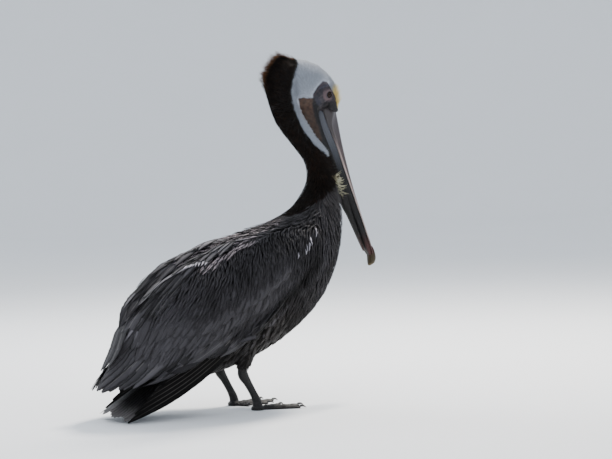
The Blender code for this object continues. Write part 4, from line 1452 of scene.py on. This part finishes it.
def breast_tint(spots):
    s, above, beside = wing_edge(spots)
    _, d = back_place(spots)
    silver = smooth(s, 0.17, 0.30) * (0.55 + 0.45 * smooth(ripple(spots, 0.03, 51), -0.8, 0.6))
    silver = silver * (1 - 0.25 * smooth(d, -0.02, -0.09))
    colour = paint(mix(BELLY, UMBER, 0.25), SILVER, silver * 0.95)
    below = 0.010 + 0.008 * smooth(s, 0.10, 0.16)
    lit = bump(above, -below, 0.0045) * smooth(s, 0.06, 0.10) * smooth(0.33 - s, 0, 0.03)
    colour = paint(colour, BREAST_LIT, (lit * beside) * 0.8)
    return paint(colour, SHADOW, under_wing(spots))


def breast_rim(spots):
    return paint(mix(BELLY, UMBER, 0.55), BREAST_RIM, smooth(back_place(spots)[0], 0.15, 0.30))


NAPE_WIDTH = 0.0165
CREST = ((71, 0.0022, 0.0115), (73, 0.0034, 0.0170))     # seed, spacing and length of each kind of bristle
SHORTEST_BRISTLE = 0.007
BRISTLE_HALF_WIDTH = 0.0010
BRISTLE_THICKNESS = 0.0002


def make_crest(surface, crest, nape):
    """Bristles that stand out behind the head, with chestnut tips."""
    v = vane_rows(6)
    for seed, spacing, length in CREST:
        spots, faces = surface.scatter(nape, spacing, seed)
        rng = np.random.default_rng(seed)
        from_middle = np.abs(spots[:, 1])
        rise = smooth(spots[:, 2], 0.615, 0.662) * smooth(NAPE_WIDTH - from_middle, 0, 0.007)
        lengths = (SHORTEST_BRISTLE + (length - SHORTEST_BRISTLE) * rise) * rng.uniform(0.65, 1.2, len(spots))
        normals = surface.face_normals[faces]
        flow = surface.face_flow[faces]
        back = np.stack((np.full(len(spots), -0.75), spots[:, 1] * 6.0, (spots[:, 2] - 0.668) * 9), -1)
        crest_way = unit(unit(back) + 0.8 * normals)
        way = unit(flow * (1 - 0.6 * rise[:, None]) + crest_way * 0.85 * rise[:, None])
        way = unit(way + rng.normal(0, 0.15, spots.shape))
        run = lengths[:, None] * v
        lines = spots[:, None] - normals[:, None] * 0.001 + way[:, None] * run[..., None]
        lines = lines + flow[:, None] * (run ** 2 / lengths[:, None])[..., None] * 0.25
        line_normals = unit(normals + rng.normal(0, 0.5, normals.shape))
        line_normals = np.broadcast_to(line_normals[:, None], lines.shape)
        rings, across = vane_rings(lines, line_normals, np.full(len(spots), BRISTLE_HALF_WIDTH),
                                   outline("bristle", v), 0.3, np.zeros((len(spots), len(v))), 3,
                                   BRISTLE_THICKNESS)
        # the chestnut tips are the crest's own colour; their larger share along the top ridge is painted
        # sunlight
        high = smooth(spots[:, 2], 0.63, 0.70) * smooth(0.013 - from_middle, 0, 0.008)
        warm = smooth(v[None] + 0.9 * high[:, None], 0.55, 1.35) * rise[:, None]
        tip = np.array(CHESTNUT)[None] * rng.uniform(0.6, 1.5, len(spots))[:, None]
        tints = mix(np.array(NECK_DARK), tip[:, None], warm[..., None])[:, :, None]
        crest.add(rings, across, v, unwrap(surface, spots, faces), tints, tints * 0.75)


def make_head_and_neck(surface):
    down = feather_material("head_down")
    velvet = feather_material("neck_velvet")
    crown = Coat("crown_feathers", down, "head_plumage")
    upper = Coat("neck_feathers_upper", velvet, "neck_plumage")
    lower = Coat("neck_feathers_lower", velvet, "neck_plumage")
    crest = Coat("crest_bristles", velvet, "head_plumage")
    x, y, z = surface.centres.T
    share, off = bill_place(surface.centres)
    neck = inside(BREAST_LINE, x, z, COLLAR_SOFT) <= 0.5
    feathered = (bare_skin(surface.centres) < 0.25) & owned(surface, *HEAD_END, "neck_lower", "trunk") & neck
    feathered &= ~((z > 0.56) & (share > -0.02) & (off < 0.012) & (x > 0.205))
    reach = surface.centres + 0.0030 * surface.face_flow
    capped = np.minimum(inside(CAP_OUTLINE, x, z, CAP_SOFT),
                        inside(CAP_OUTLINE, reach[:, 0], reach[:, 2], CAP_SOFT)) > 0.4
    dark = feathered & ~capped

    def cap_length(spots):
        face = np.hypot(spots[:, 0] - 0.213, spots[:, 2] - 0.628)
        stripe = smooth(0.622 - spots[:, 2], 0, 0.03)
        return 0.0045 + 0.0055 * smooth(face, 0.030, 0.085) * (1 - 0.8 * stripe)

    def low_neck(spots):
        return smooth(0.55 - spots[:, 2], 0, 0.15)

    def forehead_stand(spots):
        return 0.0014 + 0.0052 * smooth(spots[:, 2], 0.604, 0.614) * smooth(0.650 - spots[:, 2], 0, 0.012)

    grow([(crown, everywhere)], surface, feathered & capped, 0.00165, 61, cap_length,
         lambda p: 0.0016 + 0.16 * (cap_length(p) - 0.004), head_colour, darker(head_colour, 0.86), rows=4,
         stand=0.0003, vary=0.07)
    grow([(upper, lambda p: p[:, 2] >= 0.545), (lower, lambda p: p[:, 2] < 0.545)], surface, dark, 0.0024, 67,
         lambda p: 0.0085 + 0.0060 * low_neck(p), lambda p: 0.0026 + 0.0010 * low_neck(p), neck_tint,
         darker(head_colour, 0.75), sway=0.11, vary=0.22)
    make_crest(surface, crest, dark & (z > 0.615) & (x < 0.160) & (np.abs(y) < NAPE_WIDTH))
    grow([(crown, everywhere)], surface, feathered & (x > 0.222) & (z > 0.600) & (z < 0.664), 0.0017, 79,
         0.0115, 0.0021, head_colour, darker(head_colour, 0.8), stand=forehead_stand, sway=0.25, vary=0.14)
    tuft = (inside(PALE_PATCH, x, z, PATCH_SOFT) > 0.4) & owned(surface, "neck_middle", "neck_lower", "trunk")
    grow([(lower, everywhere)], surface, tuft, 0.0030, 83, 0.024, 0.0021, plain(TUFT), plain(TUFT_RIM),
         stand=0.0060, sway=0.34, vary=0.20)
    build_all(crown, upper, lower, crest)


def make_trunk_coat(surface):
    vane = feather_material("body_vane")
    breast = Coat("breast_feathers", vane, "body_plumage")
    belly = Coat("belly_feathers", vane, "body_plumage")
    x, _, z = surface.centres.T
    s, _ = back_place(surface.centres)
    front = inside(BREAST_LINE, x, z, COLLAR_SOFT) > 0.5
    trunk = (owned(surface, "trunk") | (owned(surface, "neck_lower") & front)) & (front | (s < 0.25))
    thighs = owned(surface, "thigh_R", "thigh_L") & (z > 0.0865)
    grow([(breast, everywhere)], surface, trunk & (s > 0.17), 0.0043, 91,
         lambda p: 0.036 - 0.011 * smooth(p[:, 2], 0.28, 0.43),
         lambda p: 0.0062 - 0.0028 * smooth(p[:, 2], 0.28, 0.42), breast_tint, breast_rim, rows=7,
         stand=0.0012, vary=0.20, camber=0.18, ragged=0.30)
    grow([(belly, everywhere)], surface, trunk & (s <= 0.19), 0.0078, 97, 0.038, 0.0145, breast_tint,
         breast_rim, "round", 8, 5, stand=0.0012, vary=0.14, camber=0.14, ragged=0.30)
    grow([(belly, everywhere)], surface, thighs, 0.0046, 101,
         lambda p: 0.011 + 0.011 * smooth(p[:, 2], 0.088, 0.108), 0.0062, breast_tint, breast_rim, rows=6,
         stand=0.0010, sway=0.14, vary=0.18, camber=0.18, ragged=0.30)
    build_all(breast, belly)


# ---------------------------------------------------------------- wings, back and tail

OUTER = ["trunk", "neck_lower", "tail", "wing_R_coverts", "wing_R_secondaries", "wing_L_coverts",
         "wing_L_secondaries"]
OUTER_SWELL = 0.0008
OUTER_VOXEL = 0.0032
OUTER_EVEN_ROUNDS = 16
OUTER_DEPTH = 0.0045
OUT = SIDES["R"]                     # the right wing is built, and the left is its mirror image


def make_outer_surface():
    cad_points, triangles, cad_owners = cad_mesh(OUTER, OUTER_SWELL)
    points, quads = largest_body(*remeshed(cad_points, triangles, OUTER_VOXEL))
    points = evened(points, links_of([quads]), OUTER_EVEN_ROUNDS)
    outer = Surface(points, quads)
    outer.names = OUTER
    tree = BVHTree.FromPolygons(cad_points.tolist(), triangles.tolist())
    outer.owner = owners_of(points, tree, cad_owners)
    outer.face_owner = outer.owner[quads[:, 0]]
    outer.centres = points[quads].mean(axis=1)
    outer.face_depth = np.full(len(quads), OUTER_DEPTH)
    s, _ = back_place(points)
    outer.reach = s.max() - s
    outer.flow = outer.tangent(np.tile(-ALONG, (len(points), 1)))
    outer.face_flow = unit(outer.flow[quads].mean(axis=1))
    make_unwrap(outer)
    return outer


def down_wing(normals):
    return unit(OUT * np.cross(normals, ALONG))


def slanted(normals, angle):
    """A heading back along the wing, turned down it by an angle."""
    back = -ALONG - (normals @ -ALONG)[:, None] * normals
    return unit(unit(back) * np.cos(angle)[:, None] + down_wing(normals) * np.sin(angle)[:, None])


def wing_way(spots, normals):
    s, d = back_place(spots)
    angle = radians(14) + radians(34) * smooth(s, 0.02, 0.30) * smooth(d, -0.06, 0.07)
    angle += radians(5) * ripple(spots, 0.09, 201)
    return slanted(normals, angle)


def on_wing(outer, s, d, y=None):
    """Places on the right wing's surface: seen from the side at (s, d), or from above where y is given."""
    spots, normals = [], []
    for k in range(len(s)):
        if y is None:
            start = back_point(s[k], d[k], OUT * 0.4)
            way = Vector(-OUT * ACROSS)
        else:
            start = back_point(s[k], 0.4, OUT * y[k])
            way = Vector(-OFF)
        spot, _, face, _ = outer.tree.ray_cast(Vector(start), way)
        if spot is None:
            spot, _, face, _ = outer.tree.find_nearest(Vector(back_point(s[k], d[k], OUT * 0.08)))
        spots.append(spot)
        normals.append(outer.face_normals[face])
    return np.array(spots), np.array(normals)


def evened_rows(values, rounds):
    for _ in range(rounds):
        inner = (values[:, :-2] + 2 * values[:, 1:-1] + values[:, 2:]) / 4
        values = np.concatenate([values[:, :1], inner, values[:, -1:]], axis=1)
    return values


def quill_lines(outer, tips, angle, lengths, rows):
    """Centre lines of long feathers that end at tips, given on the wing as (s, d) or (s, d, y)."""
    s, d = tips[:, 0], tips[:, 1]
    spots, normals = on_wing(outer, s, d, tips[:, 2] if tips.shape[1] > 2 else None)
    v = vane_rows(rows)
    back = -slanted(normals, angle)
    lines, line_normals = outer.follow(spots, back, lengths, 1 - v[::-1])
    lines, line_normals = lines[:, ::-1], line_normals[:, ::-1]
    return evened_rows(lines, 6), unit(evened_rows(line_normals, 14)), v


def wing_grey(spots, tone):
    """Grey of the wing, from lighter silver (tone 1) to slate (0)."""
    base = mix(SLATE, SILVER, np.asarray(tone)[..., None])
    return base * (1 + 0.12 * ripple(spots, 0.06, 207))[..., None]


def place_on(outer, spots):
    faces = np.array([outer.tree.find_nearest(Vector(spot))[2] for spot in spots])
    return unwrap(outer, spots, faces)


def lay_quills(coats, outer, tips, angle, lengths, widths, tone, rim_tone, seed, kind="quill", rows=22,
               columns=7, proud=0.0, sunk=0.006, roll=0.10, camber=0.10, ragged=0.10,
               thickness=VANE_THICKNESS, vary=0.10):
    """Long feathers over the wing, each one's lower edge over the next one below."""
    rng = np.random.default_rng(seed)
    tips = np.array(tips)
    count = len(tips)
    angle = np.broadcast_to(angle, (count,)) + rng.normal(0, radians(1.2), count)
    lengths = np.broadcast_to(lengths, (count,)) * rng.uniform(0.95, 1.05, count)
    widths = np.broadcast_to(widths, (count,)) * rng.uniform(0.93, 1.07, count)
    lines, normals, v = quill_lines(outer, tips, angle, lengths, rows)
    proud = np.broadcast_to(proud, (count,))
    lift = proud[:, None] - sunk * (1 - smooth(v, 0, 0.85)) - OUTER_SWELL
    rings, across = vane_rings(lines, normals, widths / 2, outline(kind, v), camber, lift, columns, thickness,
                               roll + rng.normal(0, 0.02, count), ragged, seed + 1)
    shade = np.clip(rng.normal(1, vary, count), 0.6, 1.5)[:, None]
    spots = lines[:, rows // 2]
    tints = wing_grey(spots, np.broadcast_to(tone, (count,))) * shade
    rims = wing_grey(spots, np.broadcast_to(rim_tone, (count,))) * shade
    places = place_on(outer, spots)
    for coat, flip in coats:
        coat.add(rings * flip, across, v, places, tints, rims)


MIRROR = {"R": np.ones(3), "L": np.array((1.0, -1.0, 1.0))}


def both_sides(name, material, slot, *ends):
    """The same tract's coat for each side, with the factor that places it."""
    return [(Coat(f"{name}_{letter}", material, slot, *[f"wing_{letter}_{end}" for end in ends]),
             MIRROR[letter])
            for letter in SIDES]


class Gathered:
    """Keeps what grow hands over, to use it twice."""

    def __init__(self):
        self.kept = []

    def add(self, *given):
        self.kept.append(given)


def grow_on_wings(coats, outer, wanted, spacing, seed, **looks):
    """One tract of coverts on the right wing, and its mirror image on the left."""
    gathered = Gathered()
    grow([(gathered, everywhere)], outer, wanted, spacing, seed, rim=covert_rim, heading=wing_way,
         lower=OUTER_SWELL, **looks)
    for coat, flip in coats:
        for rings, *rest in gathered.kept:
            coat.add(rings * flip, *rest)


# Tips of the great coverts, from the wing's front to its rear, and the wing's lower rear edge, as (s, d).
GREAT_LINE = [(0.200, -0.026), (0.137, -0.018), (0.111, -0.009), (0.066, 0.0046), (0.0157, 0.012),
              (-0.016, 0.0295), (-0.0545, 0.0605), (-0.082, 0.067), (-0.114, 0.078)]
REAR_EDGE = [(0.106, -0.0315), (0.056, -0.0345), (-0.019, -0.0166), (-0.060, 0.011), (-0.1045, 0.0187),
             (-0.157, 0.0496), (-0.183, 0.074), (-0.200, 0.080)]
# Tips of single feathers, as (s, d), or as (s, y) where they lie on the back and are placed from above.
INNER_TIPS = [(-0.172, 0.046), (-0.186, 0.034), (-0.196, 0.024), (-0.199, 0.015), (-0.180, 0.011),
              (-0.158, 0.010), (-0.132, 0.010), (-0.104, 0.011), (-0.076, 0.012), (-0.048, 0.014)]
EDGE_TIPS = [(0.190, -0.041), (0.165, -0.041), (0.140, -0.040), (0.112, -0.040), (0.086, -0.039)]
# painted sunlight: pale tufts at the wing's bend, as (s, d)
SUNLIT_WING_TUFTS = [(0.3375, 0.010), (0.3335, 0.005), (0.3285, 0.004), (0.3105, 0.0045), (0.3075, 0.0005),
              (0.3025, 0.0015), (0.2955, -0.0025), (0.2905, -0.0005), (0.2845, -0.0025), (0.264, 0.006)]
RIDGE_TIPS = [(-0.112, 0.011), (-0.050, 0.024), (0.012, 0.038), (0.066, 0.051)]
BRIDGE_TIPS = [(-0.178, 0.0), (-0.150, -0.010), (-0.160, 0.010), (-0.110, 0.004), (-0.085, -0.008),
               (-0.060, 0.009), (-0.022, -0.006), (0.000, 0.008), (0.032, -0.003)]
# Rows of the quills' bases: set back, length, width, tone, how far they sink.
SECONDARIES = ((0.016, 0.110, 0.036, 0.0, 0.0062), (0.0, 0.140, 0.0185, 0.50, 0.0030))
# Rows of great coverts: shift up the wing, length, width, tone.
GREAT_COVERTS = ((0.0, 0.092, 0.0185, 0.34), (0.021, 0.078, 0.0165, 0.28))
# Rows of scapulars: count, first and last s, inner and outer y, length, width, tone.
SCAPULARS = ((7, -0.060, -0.030, 0.015, 0.060, 0.150, 0.020, 0.18),
             (7, -0.005, 0.015, 0.017, 0.062, 0.145, 0.018, 0.24),
             (7, 0.050, 0.065, 0.020, 0.062, 0.130, 0.017, 0.50),
             (6, 0.100, 0.112, 0.024, 0.060, 0.115, 0.015, 1.0),
             (6, 0.150, 0.158, 0.028, 0.058, 0.095, 0.013, 1.4))


def from_above(tips):
    """Tips given as (s, y), as quill_lines takes them; d is only a first guess."""
    s, y = np.array(tips).T
    return np.stack((s, np.full(len(s), 0.1), y), -1)


def tips_along(line, count, start, end, scatter, seed):
    rng = np.random.default_rng(seed)
    places = along_line(line, count, start, end)
    return places + rng.normal(0, scatter, places.shape)


def covert_tint(spots):
    s, d = back_place(spots)
    tone = (0.16 + 0.30 * smooth(d, 0.05, 0.13) + 0.22 * smooth(-s, -0.06, 0.06)
            + 0.10 * smooth(ripple(spots, 0.05, 211), -0.6, 0.6))
    return paint(wing_grey(spots, tone), SHADOW, under_wing(spots))


def covert_rim(spots):
    """Dark edges on the uppermost small feathers, which fade further down the wing."""
    s, d = back_place(spots)
    return covert_tint(spots) * (0.82 - 0.52 * smooth(d, 0.04, 0.11) * smooth(s, -0.04, 0.05))[:, None]


def make_wings(outer):
    covert = feather_material("covert_vane")
    quill = feather_material("quill_vane")
    small = both_sides("small_coverts", covert, "wing_plumage", "coverts")
    great = both_sides("great_coverts", covert, "wing_plumage")
    long = both_sides("wing_quills", quill, "wing_plumage", "secondaries")
    s, d = back_place(outer.centres)
    wing = owned(outer, "wing_R_coverts") | (owned(outer, "wing_R_secondaries") & (s > -0.05))
    wing &= outer.face_normals[:, 1] * OUT > -0.2
    above = d - np.interp(s, *np.array(GREAT_LINE)[::-1].T)
    high = outer.centres[:, 1] * OUT > np.interp(s, [-0.05, 0.05, 0.30], [0.075, 0.052, 0.050])
    lesser = wing & (above > 0.045) & (s > -0.02) & high
    front = wing & (s > 0.20)
    median = wing & (above > 0.016) & (above <= 0.085) & (s > -0.05) & (s < 0.28)
    low_front = wing & (above > -0.04) & (above <= 0.03) & (s > 0.09) & (s < 0.26)

    # secondaries and tertials first, then the coverts that lie over their bases
    for k, (back, length, width, tone, sink) in enumerate(SECONDARIES):
        tips = tips_along(REAR_EDGE, 19, 0.02, 0.985, 0.0018, 301 + k) + np.array((back, 0.2 * back))
        share = np.linspace(0, 1, len(tips))
        lay_quills(long, outer, tips, radians(4) - radians(7) * share, length + 0.03 * share,
                   width + 0.003 * share, tone + 0.14 * share, 0.07 + 0.3 * tone, 303 + k, "pointed", 30, 9,
                   proud=-sink + 0.0018 * share, sunk=0.004, roll=0.13, ragged=0.14)
    count = len(INNER_TIPS)
    lay_quills(long, outer, from_above(INNER_TIPS), np.radians(np.linspace(0, -9, count)), 0.150, 0.030, 0.42,
               0.12, 307, "pointed", 30, 9, proud=np.linspace(-0.0010, 0.0020, count), sunk=0.005, roll=0.09,
               camber=0.12, ragged=0.14)
    for k, (shift, length, width, tone) in enumerate(GREAT_COVERTS):
        tips = tips_along(np.array(GREAT_LINE) + np.array((0.010 * k, shift)), 28, 0.0, 0.99, 0.0016, 311 + k)
        share = np.linspace(0, 1, len(tips))
        lay_quills(great, outer, tips, radians(22) - radians(12) * share, length, width, tone + 0.10 * share,
                   0.25, 317 + k, "round", 18, proud=0.0002 + 0.0006 * k, sunk=0.005, camber=0.12,
                   ragged=0.16)
    lay_quills(great, outer, EDGE_TIPS, radians(4), 0.100, 0.018, 0.05, 0.0, 323, rows=20, proud=-0.001,
               sunk=0.004, roll=0.06)
    grow_on_wings(great, outer, median, 0.0090, 331, length=0.060, width=0.0120, tint=covert_tint, rows=9,
                  columns=5, stand=0.0008, sway=0.045, camber=0.07, vary=0.10, ragged=0.25)
    grow_on_wings(great, outer, low_front, 0.0080, 333, length=0.044, width=0.0105, tint=covert_tint, rows=8,
                  columns=5, stand=0.0008, sway=0.05, camber=0.08, ragged=0.25)
    grow_on_wings(small, outer, lesser | front, 0.0046, 337, length=0.028, width=0.0060,
                  tint=lambda p: covert_tint(p) * 1.1, rows=7, stand=0.0012, sway=0.06, camber=0.14,
                  vary=0.13, ragged=0.30)
    # pale tufts at the wing's bend: painted sunlight
    lay_quills(small, outer, SUNLIT_WING_TUFTS, radians(24) + radians(12) * np.sin(9 * np.arange(len(SUNLIT_WING_TUFTS))),
               0.017, 0.0050, 3.9, 2.4, 341, "lance", 8, 5, proud=0.003, roll=0.2, ragged=0.4,
               thickness=0.0003, vary=0.3)
    build_all(*[coat for pair in (small, great, long) for coat, _ in pair])


def make_back(outer):
    """Mantle, the long feathers over the wings' upper edges, and the rump."""
    mantle = Coat("mantle_feathers", feather_material("mantle_vane"), "body_plumage")
    long = both_sides("scapulars", feather_material("scapular_vane"), "body_plumage")
    x, y, z = outer.centres.T
    s, _ = back_place(outer.centres)
    y = np.abs(y)
    upward = outer.face_normals @ OFF
    back = owned(outer, "trunk", "neck_lower", "wing_R_coverts", "wing_L_coverts") & (upward > 0.15)
    back &= (y < 0.060) & (s > 0.13) & (s < 0.40) & (inside(BREAST_LINE, x, z, COLLAR_SOFT) > 0.5)
    rump = owned(outer, "trunk", "tail") & (y < 0.045) & (s <= 0.15) & (s > -0.06) & (upward > -0.2)

    def outward_back(spots, normals):
        return slanted(normals, np.clip(spots[:, 1] * OUT / 0.06, -1, 1) * radians(11))

    def mantle_tint(spots):
        s, _ = back_place(spots)
        # the pale pinkish mantle is partly its own silver and partly painted sunlight, fading towards the
        # sides
        pale = smooth(0.340 - 2.3 * np.maximum(np.abs(spots[:, 1]) - 0.018, 0) - s, -0.010, 0.014)
        tone = 0.5 + (0.35 + 0.2 * ripple(spots, 0.05, 403)) * pale
        return wing_grey(spots, tone) * paint(np.ones(3), MANTLE_PALE_AND_SUNLIT_GAIN, pale)

    def rearward(spots):
        return smooth(0.36 - back_place(spots)[0], 0, 0.12)

    def grey(tone):
        return lambda spots: wing_grey(spots, np.full(len(spots), tone))

    grow([(mantle, everywhere)], outer, back, 0.0062, 401, lambda p: 0.022 + 0.018 * rearward(p),
         lambda p: 0.0064 + 0.0046 * rearward(p), mantle_tint, darker(grey(0.0), 0.6), rows=7, stand=0.0018,
         sway=0.07, heading=outward_back, camber=0.18, lower=OUTER_SWELL, vary=0.16, ragged=0.28)
    grow([(mantle, everywhere)], outer, rump, 0.0095, 407, 0.045, 0.015, grey(0.30), grey(0.05), "round", 8,
         5, stand=0.0015, sway=0.08, heading=outward_back, camber=0.14, lower=OUTER_SWELL, vary=0.14,
         ragged=0.25)
    rng = np.random.default_rng(409)
    for row, (count, first, last, inner, outermost, length, width, tone) in enumerate(SCAPULARS):
        tip_s = np.linspace(last, first, count) + rng.normal(0, 0.006, count)
        tips = from_above(np.stack((tip_s, np.linspace(outermost, inner, count)), -1))
        lay_quills(long, outer, tips, np.radians(np.linspace(7, -2, count)), length, width, tone, 0.0,
                   419 + row, "pointed", proud=0.0010 + 0.0010 * row, roll=0.12, camber=0.16, ragged=0.14)
    lay_quills(long, outer, from_above(RIDGE_TIPS), radians(-13), 0.100, 0.0075, 1.9, 0.9, 431, "pointed", 24,
               5, proud=0.0050, sunk=0.007, roll=0.12)
    # pale tufts along the wing's top edge: painted sunlight
    tips = from_above(np.stack((np.linspace(0.116, 0.080, 8), np.linspace(0.063, 0.053, 8)), -1))
    lay_quills(long, outer, tips, radians(16) + radians(14) * np.sin(7 * np.arange(8)), 0.024, 0.0060, 5.0,
               3.0, 433, "lance", 8, 5, proud=0.0060, roll=0.2, ragged=0.4, thickness=0.0003, vary=0.25)
    lay_bridge(mantle, outer)
    build_all(mantle, *[coat for coat, _ in long])


# Height of the feathers that close the back between the wings, as (s, d), from rear to front.
BRIDGE = [(-0.185, 0.058), (-0.150, 0.078), (-0.115, 0.098), (-0.080, 0.113), (-0.045, 0.123), (0.0, 0.134),
          (0.045, 0.134), (0.090, 0.118), (0.130, 0.094), (0.170, 0.070)]
BRIDGE_LENGTH = 0.140
BRIDGE_HALF_WIDTH = 0.0175


def lay_bridge(coat, outer):
    """Long feathers down the middle of the back, under the inner edges of both wings."""
    tip_s, tip_y = np.array(BRIDGE_TIPS).T[:, :, None]
    rows, count = 26, len(BRIDGE_TIPS)
    v = vane_rows(rows)
    s = tip_s + BRIDGE_LENGTH * (1 - v)
    y = np.broadcast_to(tip_y, s.shape)
    under, _ = on_wing(outer, s.ravel(), 0 * s.ravel(), OUT * y.ravel())
    under = np.minimum(back_place(under)[1].reshape(s.shape), 0.130)
    d = np.maximum(np.interp(s, *np.array(BRIDGE).T), under + 0.002) + 0.0008 * np.arange(count)[:, None]
    d = d - 0.014 * (1 - smooth(v, 0, 0.4))
    lines = evened_rows(back_point(s, d, y), 4)
    rings, across = vane_rings(lines, np.broadcast_to(OFF, lines.shape), np.full(count, BRIDGE_HALF_WIDTH),
                               outline("pointed", v), 0.10, np.zeros(s.shape), 9, raggedness=0.16, seed=441)
    middles = lines[:, rows // 2]
    tints = wing_grey(middles, np.linspace(0.15, 0.35, count))
    coat.add(rings, across, v, place_on(outer, middles), tints, tints * 0.5)


# How far the primaries are drawn in at their tips: forward, inward.
TUCK = {"R": (0.0, 0.0), "L": (0.020, 0.016)}
PRIMARY_HALF_WIDTH = 0.0105
TAIL_HALF_WIDTH = 0.0115


def make_primaries():
    black = feather_material("primary_vane")
    rows, count = 40, 7
    v = vane_rows(rows)
    order = np.arange(count)[:, None]
    tints = np.array(PRIMARY) * np.linspace(0.9, 1.25, count)[:, None]
    places = np.stack((0.1 + 0.1 * np.arange(count), np.full(count, 0.5)), -1)
    s = 0.070 - 0.004 * order + (-0.279 + 0.0255 * order) * v
    d = -0.034 + 0.0065 * order + (0.0475 - 0.005 * order) * v
    d = d + (-0.011 + 0.0015 * order) * np.sin(pi * v) ** 1.2
    for letter, (ahead, inward) in TUCK.items():
        y = OUT * (0.0900 - 0.0125 * v - 0.0007 * order - inward * v ** 2)
        lines = back_point(s + ahead * v ** 2, d, y)
        normals = np.broadcast_to(unit(OUT * ACROSS + 0.10 * OFF), lines.shape)
        rings, across = vane_rings(lines, normals, np.full(count, PRIMARY_HALF_WIDTH), outline("pointed", v),
                                   0.10, np.zeros((count, rows)), 7, roll=0.06, raggedness=0.06, seed=503)
        coat = Coat(f"primaries_{letter}", black, "flight_feathers", f"wing_{letter}_primaries")
        coat.add(rings * MIRROR[letter], across, v, places, tints, tints * 1.2)
        coat.build()


def make_tail():
    coat = Coat("tail_fan", feather_material("tail_vane"), "tail_feathers", "tail")
    rows, count = 34, 17
    v = vane_rows(rows)
    turn = np.linspace(-1, 1, count)[:, None]
    uneven = np.sin(7.3 * np.arange(count))[:, None]
    s = -0.030 + (-0.178 + 0.003 * np.abs(turn) + 0.005 * uneven) * v
    edge_drop = np.where(turn < 0, 0.012, 0.004) * np.abs(turn) ** 1.6
    d = 0.006 + 0.016 * v ** 1.4 + 0.0060 * (1 - np.abs(turn)) - edge_drop
    lines = back_point(s, d, turn * (0.024 + 0.0275 * v))
    normals = unit(OFF + (0.30 * turn * ACROSS)[:, None] + np.zeros_like(lines))
    rings, across = vane_rings(lines, normals, np.full(count, TAIL_HALF_WIDTH), outline("quill", v), 0.08,
                               np.zeros((count, rows)), 9, raggedness=0.34, seed=601)
    tip_fade = np.ones((count, rows, 1, 1)) * smooth(v, 0.74, 1.0)[None, :, None, None]
    tints = mix(TAIL_DARK, TAIL_WORN, tip_fade)
    places = np.stack((0.05 + 0.06 * np.arange(count), np.full(count, 0.5)), -1)
    coat.add(rings, across, v, places, tints, tints * 0.5)
    coat.build()


# ---------------------------------------------------------------- camera, floor and lights

IMAGE_WIDTH = 612
FOCAL_PIXELS = 1922
SENSOR = 36
CAMERA_PLACE = (-1.82147, -3.43931, 0.54292)
HEADING, PITCH, ROLL = radians(-30), radians(2.694), radians(1.489)
SKY = (0.84, 0.89, 0.95, 1)
SKY_STRENGTH = 1.35
# Lights: how far away from the camera, to its right and up from the bird's middle, size, power, colour.
LIGHTS = {"key": (1.25, 0.95, 2.1, 0.55, 150, (1.0, 0.94, 0.86)),
          "rim": (1.6, -1.3, 1.4, 1.2, 26, (0.92, 0.96, 1.0)),
          "fill": (-2.2, -0.8, 1.2, 2.4, 10, (0.94, 0.96, 1.0))}
# The floor's profile, as (radius, height), up to where it curves into a wall.
FLOOR = [(0.001, 0.0), (2.0, 0.0), (5.0, 0.0), (8.0, 0.0)]
WALL_CURVE = 3.0
WALL_TOP = (11.0, 6.0)
FLOOR_SIDES = 96
FLOOR_GAP = 0.0004                   # the floor lies this far under the feet


def place_camera(right, up, forward):
    lens = bpy.data.cameras.new("camera")
    lens.sensor_width = SENSOR
    lens.lens = SENSOR * FOCAL_PIXELS / IMAGE_WIDTH
    lens.clip_end = 60
    camera = bpy.data.objects.new("camera", lens)
    camera.matrix_world = Matrix((right, up, -forward)).transposed().to_4x4()
    camera.location = CAMERA_PLACE
    bpy.context.scene.collection.objects.link(camera)
    bpy.context.scene.camera = camera


def make_floor():
    n = Nodes("stage_paper")
    fine = n.noise(n.place(), 220.0, 2.0)
    colour = n.mix((0.80, 0.82, 0.845), (0.84, 0.855, 0.875), n.noise(n.place(), 1.4, 3.0))
    n.bumps((fine, 0.0004))
    paper = n.finish(colour, n.ramp(fine, 0.3, 0.7, 0.75, 0.9), 0.3)
    bend = [(FLOOR[-1][0] + WALL_CURVE * sin(turn), WALL_CURVE - WALL_CURVE * cos(turn))
            for turn in np.radians(np.arange(6, 91, 6))]
    rows = FLOOR + bend + [WALL_TOP]
    turn = tau * np.arange(FLOOR_SIDES) / FLOOR_SIDES
    bowl = np.stack([np.stack((r * np.cos(turn), r * np.sin(turn), np.full(FLOOR_SIDES, z - FLOOR_GAP)), -1)
                     for r, z in rows])
    floor, _ = mesh_object("floor", bowl.reshape(-1, 3), loft_faces(len(rows), FLOOR_SIDES)[:1], paper)


def set_stage():
    level = Vector((-sin(HEADING), cos(HEADING), 0))
    beside = Vector((cos(HEADING), sin(HEADING), 0))
    raised = sin(PITCH) * level + cos(PITCH) * Vector(UP)
    right = cos(ROLL) * beside - sin(ROLL) * raised
    place_camera(right, sin(ROLL) * beside + cos(ROLL) * raised, cos(PITCH) * level - sin(PITCH) * Vector(UP))
    make_floor()

    world = bpy.data.worlds.new("world")
    bpy.context.scene.world = world
    world.use_nodes = True
    background = world.node_tree.nodes["Background"]
    background.inputs["Color"].default_value = SKY
    background.inputs["Strength"].default_value = SKY_STRENGTH

    middle = Vector((0, 0, 0.36))
    for name, (away, rightward, above, size, power, colour) in LIGHTS.items():
        light = bpy.data.lights.new(name, "AREA")
        light.shape = "DISK"
        light.size = size
        light.energy = power
        light.color = colour
        lamp = bpy.data.objects.new(name, light)
        lamp.location = middle + away * level + rightward * right + above * Vector(UP)
        lamp.rotation_euler = (middle - lamp.location).to_track_quat("-Z", "Y").to_euler()
        bpy.context.scene.collection.objects.link(lamp)


# ---------------------------------------------------------------- everything

set_stage()
surface = make_coat_surface()
finish_skin(surface)
make_claws()
make_upper_bill()
make_lower_bill()
make_nail()
make_eyes(surface)
make_head_and_neck(surface)
make_trunk_coat(surface)
outer = make_outer_surface()
make_wings(outer)
make_back(outer)
make_primaries()
make_tail()
